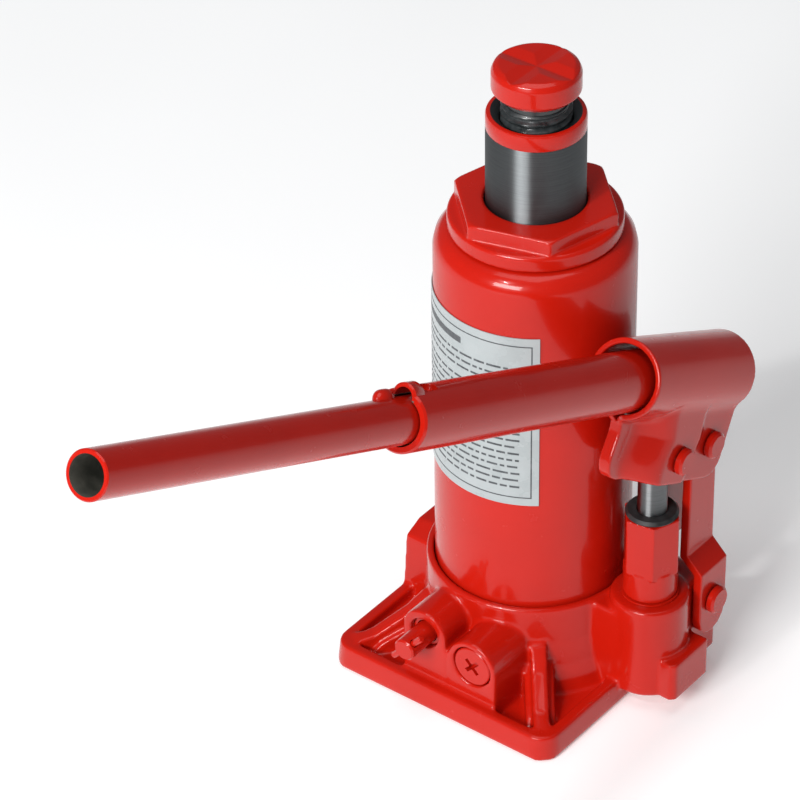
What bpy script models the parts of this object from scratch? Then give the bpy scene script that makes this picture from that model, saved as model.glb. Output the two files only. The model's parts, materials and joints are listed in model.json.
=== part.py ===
"""Hydraulic bottle jack with a socketed pump handle, one object for each piece.

Lengths below are in millimetres; new_mesh() scales them to metres. The origin is on the
cylinder axis at floor level. +Z is up, +X points to the pump and -Y to the operator, so
the handle, the release valve and the plug screw all face -Y. Every pivot lies along X.
"""

import math

import bmesh
import bpy
from mathutils import Matrix, Vector

MM = 0.001

# Tank, pressure cylinder and top nut
TANK_R, TANK_WALL = 36.0, 3.0
TANK_FOOT_Z, TANK_SHOULDER_Z, TANK_TOP_Z = 38.6, 175.2, 182.4
HUB_R, HUB_TOP_Z = 39.2, 41.4
CYLINDER_R, CYLINDER_BORE_R = 23.0, 20.0
CYLINDER_FOOT_Z, CYLINDER_TOP_Z = 33.6, 186.4
NUT_FLANGE_R, NUT_CORNER_R, NUT_CORNER_TURN = 31.0, 30.4, math.radians(-44.0)
NUT_FLANGE_Z, NUT_HEX_Z, NUT_TOP_Z = 183.0, 189.2, 195.0
GAP = 0.3

# Ram, extension screw and saddle, partly raised
RAM_R, RAM_BORE_R, RAM_FOOT_Z, RAM_TOP_Z = 17.6, 12.9, 82.0, 229.6
SCREW_R, SCREW_FOOT_Z = 12.5, 166.0
SADDLE_R, SADDLE_LOW_Z, SADDLE_TOP_Z = 15.7, 237.0, 248.3

# Base casting
PLATE_HALF_X, PLATE_FRONT_Y, PLATE_REAR_Y, PLATE_H = 49.7, -59.3, 51.0, 10.0
PLATE_CORNER_R, RIM_W, POCKET_FLOOR_Z = 8.0, 5.4, 5.5
FACE_Y = -54.0
VALVE_X, VALVE_Z, PLUG_X, PLUG_Z = -9.5, 29.5, 12.0, 24.2

# Pump, its linkage and the handle
PUMP_X, PUMP_TOP_Z, PUMP_HEX_Z, BOSS_TOP_Z, BOSS_R = 52.3, 82.0, 56.6, 45.3, 14.5
PISTON_R = 5.4
# The eye is wide for its pin: the pin swings on the linkage and the rod slides straight
PISTON_EYE_BORE_R = 5.6
PISTON_PIN = Vector((PUMP_X, 0.0, 108.7))
LINK_TOP = Vector((PUMP_X, 20.6, 103.2))
LINK_FOOT = Vector((PUMP_X, 19.8, 35.5))
SOCKET_FRONT = Vector((PUMP_X, -19.7, 150.2))
SOCKET_PITCH, SOCKET_LENGTH = math.radians(26.8), 68.0
SOCKET_MID_R, SHEET = 13.35, 2.1
CHEEK_DEPTH, CHEEK_CORNER_R = 37.4, 8.0
CHEEK_DEPTHS = [37.4, 36.6, 34.8, 32.0, 28.8, 24.4, 20.0]
SOCKET_STATIONS = [0.0, 3.5, 7.0, 10.5, 14.0, 17.5, 21.0, 24.5, 28.0, 36.0, 43.0, 45.4, 56.0]
SOCKET_STATIONS += [SOCKET_LENGTH]
SOCKET_ARC_STEPS = 18
HANDLE_PITCH, HANDLE_AXIS_Z = math.radians(24.58), 139.99
HANDLE_REAR_R, HANDLE_REAR_BORE_R, HANDLE_REAR_SPAN = 10.7, 8.35, (-37.0, 159.6)
HANDLE_FRONT_R, HANDLE_FRONT_BORE_R, HANDLE_FRONT_SPAN = 7.85, 6.4, (110.0, 318.5)
# The front tube is turned in the rear one, so that its bump can't slide back out of the keyway
KEYWAY_TURN, BUMP_TURN = math.radians(3.0), math.radians(26.0)


def clear_scene():
    for obj in list(bpy.data.objects):
        bpy.data.objects.remove(obj, do_unlink=True)


def make_material(name, colour, roughness, metallic=0.0):
    made = bpy.data.materials.new(name)
    made.use_nodes = True
    shader = made.node_tree.nodes["Principled BSDF"]
    shader.inputs["Base Color"].default_value = (*colour, 1.0)
    shader.inputs["Roughness"].default_value = roughness
    shader.inputs["Metallic"].default_value = metallic
    return made


def make_body(name, pivot=(0.0, 0.0, 0.0)):
    """An empty on a moving body's joint axis; its pieces are parented to it."""
    empty = bpy.data.objects.new(name, None)
    empty.location = Vector(pivot) * MM
    bpy.context.collection.objects.link(empty)
    return empty


def new_mesh(name, points, faces, look=None, body=None, smooth=True):
    """A closed mesh from points in millimetres, with its origin at its body's pivot."""
    pivot = body.location if body else Vector((0.0, 0.0, 0.0))
    mesh = bpy.data.meshes.new(name)
    mesh.from_pydata([Vector(point) * MM - pivot for point in points], [], faces)
    form = bmesh.new()
    form.from_mesh(mesh)
    bmesh.ops.recalc_face_normals(form, faces=form.faces)
    form.to_mesh(mesh)
    form.free()
    obj = bpy.data.objects.new(name, mesh)
    bpy.context.collection.objects.link(obj)
    if smooth:
        mesh.shade_smooth()
        mesh.set_sharp_from_angle(angle=math.radians(35))
    if look:
        mesh.materials.append(look)
    if body:
        obj.parent = body
    return obj


def turned_points(profile, segments, turn=0.0):
    """Rings of points and quads for a closed (radius, height) outline turned about Z."""
    points, faces, rings = [], [], []
    for radius, height in profile:
        if radius == 0.0:
            rings.append([len(points)])
            points.append(Vector((0.0, 0.0, height)))
            continue
        rings.append(list(range(len(points), len(points) + segments)))
        for step in range(segments):
            angle = turn + math.tau * step / segments
            points.append(Vector((radius * math.cos(angle), radius * math.sin(angle), height)))
    for ring, after in zip(rings, rings[1:] + rings[:1]):
        if len(ring) == 1 and len(after) == 1:
            continue
        for step in range(segments):
            nxt = (step + 1) % segments
            corners = [ring[step % len(ring)], ring[nxt % len(ring)]]
            corners += [after[nxt % len(after)], after[step % len(after)]]
            faces.append(list(dict.fromkeys(corners)))
    return points, faces


def turned(name, profile, look=None, body=None, segments=32, frame=None, turn=0.0):
    points, faces = turned_points(profile, segments, turn)
    if frame is not None:
        points = [frame @ point for point in points]
    return new_mesh(name, points, faces, look, body)


def ring(name, inner, outer, low, high, look=None, body=None, segments=32, frame=None):
    outline = [(inner, low), (outer, low), (outer, high), (inner, high)]
    return turned(name, outline, look, body, segments, frame)


def rod(name, radius, low, high, look=None, body=None, segments=24, frame=None, chamfer=0.0):
    outline = [(0.0, low), (radius - chamfer, low), (radius, low + chamfer)]
    outline += [(radius, high - chamfer), (radius - chamfer, high), (0.0, high)]
    if not chamfer:
        outline = [(0.0, low), (radius, low), (radius, high), (0.0, high)]
    return turned(name, outline, look, body, segments, frame)


def prism(name, outline, low, high, look=None, body=None, frame=None, taper=1.0):
    """An outline in the local XY plane extruded along local Z; taper scales its far end."""
    count = len(outline)
    points = [Vector((x, y, low)) for x, y in outline]
    points += [Vector((x * taper, y * taper, high)) for x, y in outline]
    faces = [list(range(count)), list(range(count, 2 * count))]
    for step in range(count):
        nxt = (step + 1) % count
        faces.append([step, nxt, count + nxt, count + step])
    if frame is not None:
        points = [frame @ point for point in points]
    return new_mesh(name, points, faces, look, body)


def block(name, low, high, look=None, body=None):
    outline = [(low[0], low[1]), (high[0], low[1]), (high[0], high[1]), (low[0], high[1])]
    return prism(name, outline, low[2], high[2], look, body)


def rounded_outline(low, high, radius, steps=4):
    """A rectangle with round corners, anticlockwise."""
    centres = [(high[0] - radius, high[1] - radius), (low[0] + radius, high[1] - radius)]
    centres += [(low[0] + radius, low[1] + radius), (high[0] - radius, low[1] + radius)]
    outline = []
    for quarter, (x, y) in enumerate(centres):
        for step in range(steps + 1):
            angle = math.pi / 2 * (quarter + step / steps)
            outline.append((x + radius * math.cos(angle), y + radius * math.sin(angle)))
    return outline


def combine(target, others, operation, solver="EXACT"):
    """Adds a Boolean modifier for each helper and hides the helper."""
    for other in others:
        other.hide_render = True
        other.display_type = "WIRE"
        boolean = target.modifiers.new(other.name, "BOOLEAN")
        boolean.operation = operation
        boolean.solver = solver
        boolean.object = other
    return target


def along(origin, direction):
    """A frame at origin whose local Z points along direction."""
    turn = Vector((0.0, 0.0, 1.0)).rotation_difference(Vector(direction)).to_matrix()
    return Matrix.Translation(Vector(origin)) @ turn.to_4x4()


def side_frame(origin_x):
    """A frame whose local X and Y are world Y and Z, extruding along world +X."""
    columns = ((0, 0, 1, origin_x), (1, 0, 0, 0), (0, 1, 0, 0), (0, 0, 0, 1))
    return Matrix(columns)


def make_looks():
    red = (0.62, 0.03, 0.022)
    return {
        "red": make_material("red_enamel", red, 0.22),
        "steel": make_material("ground_steel", (0.55, 0.56, 0.57), 0.25, 1.0),
        "black": make_material("black_oxide_steel", (0.03, 0.035, 0.035), 0.4, 0.8),
        "brass": make_material("brass", (0.72, 0.5, 0.2), 0.3, 1.0),
        "rubber": make_material("nitrile_rubber", (0.02, 0.02, 0.02), 0.6),
        "paper": make_material("label_vinyl", (0.72, 0.75, 0.76), 0.35),
    }


def make_base(look, body):
    """One casting: plate, hub, corner ribs, valve face, cross block, pump boss, link lug."""
    corners = rounded_outline(
        (-PLATE_HALF_X, PLATE_FRONT_Y), (PLATE_HALF_X, PLATE_REAR_Y), PLATE_CORNER_R
    )
    base = prism("base_casting", corners, 0.0, PLATE_H, look, body, taper=0.985)
    pocket = rounded_outline(
        (-PLATE_HALF_X + RIM_W, PLATE_FRONT_Y + RIM_W),
        (PLATE_HALF_X - RIM_W, PLATE_REAR_Y - RIM_W),
        PLATE_CORNER_R - 4.0,
        3,
    )
    cutter = prism("pocket_cutter", pocket, POCKET_FLOOR_Z, 20.0)
    combine(base, [cutter], "DIFFERENCE", "MANIFOLD")
    hub = [(0.0, 2.0), (46.0, 2.0), (43.0, 9.0), (40.6, 16.0), (HUB_R, 26.0)]
    hub += [(HUB_R, HUB_TOP_Z - 0.6), (HUB_R - 0.6, HUB_TOP_Z), (0.0, HUB_TOP_Z)]
    adds = [turned("hub_form", hub, segments=48)]
    for side, end_y in ((-1, -1), (1, -1), (-1, 1), (1, 1)):
        adds += make_corner_rib(side, end_y)
    adds += make_valve_face()
    adds += make_cross_block()
    combine(base, adds, "UNION", "MANIFOLD")
    return combine(base, make_base_cutters(), "DIFFERENCE", "MANIFOLD")


def make_corner_rib(side, end):
    """A wedge falling from the hub to a corner of the plate rim."""
    reach = (PLATE_HALF_X - 7.5, (PLATE_FRONT_Y if end < 0 else PLATE_REAR_Y) - end * 7.5)
    length = math.hypot(*reach)
    outline = [(30.0, 3.0), (length + 3.0, 3.0), (length + 3.0, PLATE_H - 0.2)]
    outline += [(length - 6.0, PLATE_H + 2.0), (48.0, 20.0), (41.0, 26.5), (30.0, 28.0)]
    turn = math.atan2(reach[1], side * reach[0])
    upright = Matrix(((1, 0, 0, 0), (0, 0, -1, 0), (0, 1, 0, 0), (0, 0, 0, 1)))
    frame = Matrix.Rotation(turn, 4, "Z") @ upright
    foot = [(30.0, 3.2), (length - 2.0, 3.2), (length - 8.0, 9.4), (46.0, 16.0), (30.0, 23.0)]
    return [
        prism(f"rib_form_{side}_{end}", outline, -3.0, 3.0, frame=frame),
        prism(f"rib_foot_{side}_{end}", foot, -5.4, 5.4, frame=frame),
    ]


def make_valve_face():
    """The flat-faced bosses round the release valve and the plug screw, joined to the hub."""
    forms = []
    for name, x, z, radius in (("valve", VALVE_X, VALVE_Z, 9.6), ("plug", PLUG_X, PLUG_Z, 10.6)):
        frame = along((x, FACE_Y, z), (0.0, 1.0, 0.0))
        forms.append(rod(f"{name}_boss_form", radius, 0.0, 26.0, frame=frame))
        low, high = (x - radius, FACE_Y, 3.0), (x + radius, FACE_Y + 26.0, z)
        forms.append(block(f"{name}_foot_form", low, high))
    return forms


def make_cross_block():
    """The block across the hub for the drilled passage, with the pump boss and link lug."""
    wing = [(-15.4, 3.0), (15.4, 3.0), (14.0, 31.0), (5.0, 34.4), (-5.0, 34.4), (-13.0, 31.0)]
    forms = [prism("wing_form", wing, -PLATE_HALF_X + 0.4, 0.0, frame=side_frame(0.0))]
    forms.append(rod("boss_form", BOSS_R, 6.4, BOSS_TOP_Z, segments=32,
                     frame=Matrix.Translation((PUMP_X, 0.0, 0.0)), chamfer=0.8))
    neck = [(0.0, -14.0), (PUMP_X, -14.0), (PUMP_X, 10.4), (0.0, 10.4)]
    forms.append(prism("boss_neck_form", neck, 6.4, HUB_TOP_Z - 0.8))
    step = [(PUMP_X, -9.0), (68.6, -9.8), (70.4, -8.2), (70.4, 12.0), (PUMP_X, 12.4)]
    forms.append(prism("boss_step_form", step, 7.2, 23.4))
    lug = [(0.0, 6.0), (28.6, 6.0), (28.6, 36.0)]
    for degrees in range(15, 91, 15):
        angle = math.radians(degrees)
        lug.append((LINK_FOOT.y + 8.8 * math.cos(angle), LINK_FOOT.z + 8.8 * math.sin(angle)))
    lug.append((0.0, LINK_FOOT.z + 8.8))
    forms.append(prism("lug_form", lug, -10.0, 10.0, frame=side_frame(PUMP_X)))
    return forms


def make_base_cutters():
    cutters = [
        ring("tank_seat_cutter", 32.2, TANK_R + 0.35, 36.0, 60.0, segments=64),
        rod("cylinder_seat_cutter", CYLINDER_R + 0.35, 32.0, 60.0, segments=48),
        rod("oil_way_cutter", 5.0, 24.0, 50.0, segments=16),
        rod("pump_bore_cutter", 8.3, 22.0, 60.0,
            frame=Matrix.Translation((PUMP_X, 0.0, 0.0))),
    ]
    valve = along((VALVE_X, FACE_Y - 1.0, VALVE_Z), (0.0, 1.0, 0.0))
    cutters.append(rod("valve_bore_cutter", 6.0, 0.0, 23.3, segments=20, frame=valve))
    cutters.append(rod("valve_way_cutter", 2.3, 19.0, 52.0, segments=10, frame=valve))
    plug = along((PLUG_X, FACE_Y - 1.0, PLUG_Z), (0.0, 1.0, 0.0))
    cutters.append(rod("plug_bore_cutter", 8.2, 0.0, 10.6, segments=32, frame=plug))
    cutters.append(rod("relief_way_cutter", 3.4, 9.0, 30.0, segments=16, frame=plug))
    passage = along((-PLATE_HALF_X - 1.0, 0.0, 26.0), (1.0, 0.0, 0.0))
    cutters.append(rod("passage_cutter", 2.7, 0.0, 97.0, segments=14, frame=passage))
    cutters.append(rod("passage_mouth_cutter", 5.2, 0.0, 9.0, segments=16, frame=passage))
    pin = along((PUMP_X - 18.2, LINK_FOOT.y, LINK_FOOT.z), (1.0, 0.0, 0.0))
    cutters.append(rod("link_pin_cutter", 4.0, 0.0, 60.0, segments=20, frame=pin))
    cutters.append(rod("clip_room_cutter", 6.3, 1.4, 3.4, segments=24, frame=pin))
    return cutters


def make_tank(look, body):
    """A tube whose upper end is rolled in to a rounded shoulder under the nut."""
    inner = TANK_R - TANK_WALL
    outline = [(inner, TANK_FOOT_Z), (TANK_R, TANK_FOOT_Z), (TANK_R, TANK_SHOULDER_Z)]
    for degrees in (25, 50, 72):
        angle = math.radians(degrees)
        outline.append((27.6 + 8.4 * math.cos(angle), TANK_SHOULDER_Z + 7.8 * math.sin(angle)))
    outline += [(27.5, TANK_TOP_Z + 0.3), (27.5, TANK_TOP_Z - 2.8), (inner, TANK_SHOULDER_Z - 2.0)]
    tank = turned("reservoir_tank", outline, look, body, segments=64)
    filler = along((0.0, TANK_R - 8.0, 158.0), (0.0, 1.0, 0.0))
    return combine(tank, [rod("filler_cutter", 4.6, 0.0, 16.0, segments=16, frame=filler)],
                   "DIFFERENCE")


def make_top_nut(look, body):
    """Hexagon over a round flange, with a skirt inside the tank and a grooved bore."""
    outline = [(0.0, 174.0), (27.0, 174.0), (27.0, NUT_FLANGE_Z), (NUT_FLANGE_R - 0.5, NUT_FLANGE_Z)]
    outline += [(NUT_FLANGE_R, NUT_FLANGE_Z + 0.6), (NUT_FLANGE_R, NUT_HEX_Z - 0.8)]
    outline += [(NUT_FLANGE_R - 0.8, NUT_HEX_Z), (0.0, NUT_HEX_Z)]
    nut = turned("top_nut", outline, look, body, segments=48)
    outline = [(0.0, NUT_HEX_Z - 3.0), (NUT_CORNER_R, NUT_HEX_Z - 3.0)]
    outline += [(NUT_CORNER_R, NUT_TOP_Z), (0.0, NUT_TOP_Z)]
    hexagon = turned("hexagon_form", outline, segments=6, turn=NUT_CORNER_TURN)
    outline = [(0.0, NUT_HEX_Z - 4.0), (40.0, NUT_HEX_Z - 4.0), (40.0, NUT_TOP_Z - 5.6)]
    outline += [(27.4, NUT_TOP_Z + 0.7), (0.0, NUT_TOP_Z + 0.7)]
    combine(hexagon, [turned("chamfer_form", outline, segments=48)], "INTERSECT")
    combine(nut, [hexagon], "UNION")
    outline = [(0.0, 160.0), (CYLINDER_R + GAP, 160.0), (CYLINDER_R + GAP, CYLINDER_TOP_Z + GAP)]
    outline += [(18.0, CYLINDER_TOP_Z + GAP), (18.0, NUT_HEX_Z - 1.6), (20.2, NUT_HEX_Z - 1.6)]
    outline += [(20.2, NUT_HEX_Z + 1.0), (18.0, NUT_HEX_Z + 1.0), (18.0, NUT_TOP_Z - 0.8)]
    outline += [(20.0, NUT_TOP_Z + 1.2), (0.0, NUT_TOP_Z + 1.2)]
    return combine(nut, [turned("nut_bore_cutter", outline, segments=48)], "DIFFERENCE")


def make_ram_group(looks, body):
    outline = [(0.0, 63.3), (9.0, 63.3), (9.0, RAM_FOOT_Z), (RAM_R, RAM_FOOT_Z)]
    outline += [(RAM_R, RAM_TOP_Z - 1.0), (RAM_R - 0.9, RAM_TOP_Z), (RAM_R - 1.7, RAM_TOP_Z)]
    outline += [(RAM_BORE_R, RAM_TOP_Z - 2.4), (RAM_BORE_R, 150.0), (0.0, 146.0)]
    turned("ram", outline, looks["steel"], body, segments=48)
    ring("ram_piston_head", 9.3, 19.6, 74.0, RAM_FOOT_Z - GAP, looks["steel"], body, 48)
    cup = [(9.3, 68.0), (14.0, 68.0), (16.5, 70.6), (18.4, 67.4), (19.7, 67.4), (19.7, 73.7)]
    turned("ram_cup_seal", cup + [(9.3, 73.7)], looks["rubber"], body, segments=48)
    ring("ram_seal_nut", 9.3, 14.0, 63.5, 67.1, looks["steel"], body, 24)


def make_screw(look, body):
    outline = [(0.0, SCREW_FOOT_Z), (SCREW_R - 1.6, SCREW_FOOT_Z), (SCREW_R, SCREW_FOOT_Z + 1.6)]
    outline += [(SCREW_R, SADDLE_LOW_Z - 3.4), (SCREW_R - 1.5, SADDLE_LOW_Z - 2.2)]
    outline += [(SCREW_R - 1.5, SADDLE_LOW_Z - GAP), (7.6, SADDLE_LOW_Z - GAP)]
    outline += [(7.6, SADDLE_LOW_Z + 5.2), (0.0, SADDLE_LOW_Z + 5.2)]
    return turned("extension_screw", outline, look, body, segments=48)


def make_saddle(look, body):
    """A round cap with a crossed pair of shallow V grooves in its top."""
    outline = [(0.0, SADDLE_LOW_Z + 5.5), (8.0, SADDLE_LOW_Z + 5.5), (8.0, SADDLE_LOW_Z)]
    outline += [(SADDLE_R - 2.2, SADDLE_LOW_Z), (SADDLE_R, SADDLE_LOW_Z + 2.2)]
    outline += [(SADDLE_R, SADDLE_TOP_Z - 2.8), (SADDLE_R - 0.8, SADDLE_TOP_Z - 1.0)]
    outline += [(SADDLE_R - 2.5, SADDLE_TOP_Z), (0.0, SADDLE_TOP_Z)]
    saddle = turned("saddle", outline, look, body, segments=48)
    groove = [(-5.4, SADDLE_TOP_Z + 0.2), (0.0, SADDLE_TOP_Z - 1.2), (5.4, SADDLE_TOP_Z + 0.2)]
    cutters = []
    for name, degrees in (("a", 0.0), ("b", 90.0)):
        frame = Matrix.Rotation(math.radians(degrees), 4, "Z") @ side_frame(0.0)
        cutters.append(prism(f"saddle_groove_{name}", groove, -20.0, 20.0, frame=frame))
    return combine(saddle, cutters, "DIFFERENCE")


def make_pump(looks, body, piston_body):
    at_pump = Matrix.Translation((PUMP_X, 0.0, 0.0))
    bore, top = PISTON_R + GAP, PUMP_TOP_Z - 1.4
    outline = [(bore, 24.0), (7.9, 24.0), (7.9, BOSS_TOP_Z + 1.0), (10.0, BOSS_TOP_Z + 1.0)]
    outline += [(10.0, PUMP_HEX_Z + 1.0), (bore, PUMP_HEX_Z + 1.0)]
    pump = turned("pump_cylinder", outline, looks["red"], body, 32, at_pump)
    hexagon = turned("pump_hexagon_form", [(0.0, PUMP_HEX_Z), (10.9, PUMP_HEX_Z),
                                           (10.9, top), (0.0, top)],
                     segments=6, frame=at_pump, turn=math.radians(-52.0))
    bore_cut = rod("pump_hexagon_bore", bore, PUMP_HEX_Z - 5.0, top + 5.0, segments=32,
                   frame=at_pump)
    combine(hexagon, [bore_cut], "DIFFERENCE")
    combine(pump, [hexagon], "UNION")
    ring("pump_gasket", 8.4, 10.6, BOSS_TOP_Z + GAP / 2, BOSS_TOP_Z + 0.85, looks["brass"], body, 32,
         at_pump)
    cap = [(bore, top + GAP), (9.6, top + GAP), (9.7, top + 0.7), (8.8, PUMP_TOP_Z + 0.4)]
    turned("pump_wiper_cap", cap + [(bore, PUMP_TOP_Z + 0.4)], looks["rubber"], body, 32, at_pump)
    outline = [(0.0, 43.4), (PISTON_R - 1.0, 43.4), (PISTON_R, 44.4), (PISTON_R, 101.5)]
    piston = turned("pump_piston", outline + [(0.0, 101.5)], looks["steel"], piston_body, 24,
                    at_pump)
    eye_outline = [(8.0 * math.cos(math.tau * step / 24), 8.0 * math.sin(math.tau * step / 24))
                   for step in range(24)]
    eye_frame = side_frame(PUMP_X) @ Matrix.Translation((0.0, PISTON_PIN.z, 0.0))
    combine(piston, [prism("piston_eye_form", eye_outline, -7.6, 7.6, frame=eye_frame)], "UNION")
    pin = along((PUMP_X - 12.0, 0.0, PISTON_PIN.z), (1.0, 0.0, 0.0))
    combine(piston, [rod("piston_eye_cutter", PISTON_EYE_BORE_R, 0.0, 24.0, frame=pin)], "DIFFERENCE")
    return piston


def link_outline():
    """Side view of a link, foot to top, in world Y and Z."""
    outline = []
    for degrees in range(180, 361, 30):
        angle = math.radians(degrees)
        outline.append((LINK_FOOT.y + 8.2 * math.cos(angle), 28.6 + 8.2 * math.sin(angle)))
    for degrees in range(0, 181, 30):
        angle = math.radians(degrees)
        outline.append((LINK_TOP.y + 7.9 * math.cos(angle), LINK_TOP.z + 7.9 * math.sin(angle)))
    return outline


def make_link(name, side, look, body):
    """A strap that runs inside the cheeks above and steps outward to straddle the lug."""
    upper, lower, thick = 4.2 * side, 10.6 * side, 3.7 * side
    bend_low, bend_high = 50.0, 55.0
    section = [(lower, 10.0), (lower + thick, 10.0), (lower + thick, bend_low)]
    section += [(upper + thick, bend_high + 1.2), (upper + thick, 120.0), (upper, 120.0)]
    section += [(upper, bend_high), (lower, bend_low - 1.2)]
    frame = Matrix(((1, 0, 0, PUMP_X), (0, 0, -1, 40.0), (0, 1, 0, 0), (0, 0, 0, 1)))
    link = prism(name, section, 0.0, 40.0, look, body, frame)
    shape = prism(f"{name}_outline", link_outline(), -20.0, 20.0, frame=side_frame(PUMP_X))
    combine(link, [shape], "INTERSECT")
    holes = []
    for place, centre, radius in (("top", LINK_TOP, 3.9), ("foot", LINK_FOOT, 4.0)):
        frame = along((PUMP_X - 20.0, centre.y, centre.z), (1.0, 0.0, 0.0))
        holes.append(rod(f"{name}_{place}_cutter", radius, 0.0, 40.0, segments=20, frame=frame))
    return combine(link, holes, "DIFFERENCE")


def make_pin(name, centre, radius, reach, head_r, look, body):
    """A headed pin along X: head on the +X side, plain end grooved for its clip."""
    frame = along(centre, (1.0, 0.0, 0.0))
    outline = [(0.0, -reach - 3.2), (radius - 0.6, -reach - 3.2), (radius, -reach - 2.6)]
    outline += [(radius, -reach - 1.8), (radius - 0.9, -reach - 1.8), (radius - 0.9, -reach - 0.4)]
    outline += [(radius, -reach - 0.4), (radius, reach + GAP), (head_r, reach + GAP)]
    outline += [(head_r, reach + 2.2), (head_r - 0.9, reach + 3.0), (0.0, reach + 3.0)]
    turned(name, outline, look, body, 24, frame)
    ring(name + "_clip", radius - 0.65, radius + 2.0, -reach - 1.6, -reach - 0.6, look, body, 24,
         frame)


def cheek_half_width(travel):
    """Half the distance between the cheek sheets: pinched in front, wide over the piston eye."""
    if travel > 47.0:
        return 9.2
    if travel > 44.4:
        return 9.2 + 1.3 * (47.0 - travel) / 2.6
    step = min(max((travel - 7.0) / 19.0, 0.0), 1.0)
    return 1.3 + 9.2 * step * step * (3.0 - 2.0 * step)


def cheek_edges(depth):
    """Front and rear edge of the sheet, as travel along the tube, at a depth under its axis."""
    if depth <= 13.0:
        return 0.0, SOCKET_LENGTH
    front = 4.4 * min((depth - 13.0) / 4.0, 1.0) - 1.0 * min(max(depth - 17.0, 0.0) / 11.0, 1.0)
    rounding = max(depth - (CHEEK_DEPTH - CHEEK_CORNER_R), 0.0) / CHEEK_CORNER_R
    inset = CHEEK_CORNER_R * (1.0 - math.sqrt(max(1.0 - rounding * rounding, 0.0)))
    return front + inset, SOCKET_LENGTH - inset


def socket_section(travel):
    """Centreline of the bent sheet across the tube, with its outward normals."""
    half = cheek_half_width(travel)
    corner = math.asin(min(half / SOCKET_MID_R, 1.0))
    first = corner + 0.3
    side = []
    for depth in CHEEK_DEPTHS:
        side.append((cheek_half_width(travel + 0.16 * (depth - 20.0)), depth, 1.0, 0.0))
    bend_top = (SOCKET_MID_R * math.sin(first), SOCKET_MID_R * math.cos(first))
    bend_mid = (half, SOCKET_MID_R * math.cos(corner))
    bend_low = (half, bend_mid[1] + 3.0)
    for share in (0.0, 0.25, 0.5, 0.75):
        weights = ((1.0 - share) ** 2, 2.0 * share * (1.0 - share), share ** 2)
        across, depth = (
            sum(weight * point[axis] for weight, point in zip(weights, (bend_low, bend_mid, bend_top)))
            for axis in (0, 1)
        )
        turn = math.pi / 2 + (first - math.pi / 2) * share
        side.append((across, depth, math.sin(turn), math.cos(turn)))
    line = list(side)
    for step in range(SOCKET_ARC_STEPS + 1):
        angle = first + (math.tau - 2.0 * first) * step / SOCKET_ARC_STEPS
        normal = (math.sin(angle), math.cos(angle))
        line.append((SOCKET_MID_R * normal[0], SOCKET_MID_R * normal[1], *normal))
    for across, depth, normal_x, normal_d in reversed(side):
        line.append((-across, depth, -normal_x, normal_d))
    return line


def make_socket(look, body):
    """Sheet rolled into a tube, its two edges brought down as cheeks for the pins."""
    axis = Vector((0.0, math.cos(SOCKET_PITCH), -math.sin(SOCKET_PITCH)))
    down = Vector((0.0, -math.sin(SOCKET_PITCH), -math.cos(SOCKET_PITCH)))
    points, loops = [], []
    for travel in SOCKET_STATIONS:
        section = socket_section(travel)
        outer, inner = [], []
        for across, depth, normal_x, normal_d in section:
            front, rear = cheek_edges(depth)
            place = front + (rear - front) * travel / SOCKET_LENGTH
            for sign, store in ((0.5, outer), (-0.5, inner)):
                x = across + sign * SHEET * normal_x
                d = depth + sign * SHEET * normal_d
                store.append(len(points))
                points.append(SOCKET_FRONT + Vector((x, 0, 0)) + axis * place + down * d)
        loops.append(outer + inner[::-1])
    faces = []
    for before, after in zip(loops, loops[1:]):
        count = len(before)
        for step in range(count):
            nxt = (step + 1) % count
            faces.append([before[step], before[nxt], after[nxt], after[step]])
    half = len(loops[0]) // 2
    for loop in (loops[0], loops[-1]):
        for step in range(half - 1):
            faces.append([loop[step], loop[step + 1], loop[-step - 2], loop[-step - 1]])
    socket = new_mesh("handle_socket", points, faces, look, body)
    holes = []
    for name, centre, radius in (("piston", PISTON_PIN, 3.8), ("link", LINK_TOP, 3.8)):
        frame = along((PUMP_X - 20.0, centre.y, centre.z), (1.0, 0.0, 0.0))
        holes.append(rod(f"socket_{name}_cutter", radius, 0.0, 40.0, segments=20, frame=frame))
    return combine(socket, holes, "DIFFERENCE")


def handle_frame():
    direction = (0.0, -math.cos(HANDLE_PITCH), math.sin(HANDLE_PITCH))
    return along((PUMP_X, 0.0, HANDLE_AXIS_Z), direction)


def handle_side(turn):
    """Outward direction at an angle round the handle from its top, toward -X, and that roll."""
    top = Vector((0.0, math.sin(HANDLE_PITCH), math.cos(HANDLE_PITCH)))
    side = Vector((-1.0, 0.0, 0.0))
    return top * math.cos(turn) + side * math.sin(turn), Matrix.Rotation(-turn, 4, "Y")


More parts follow.
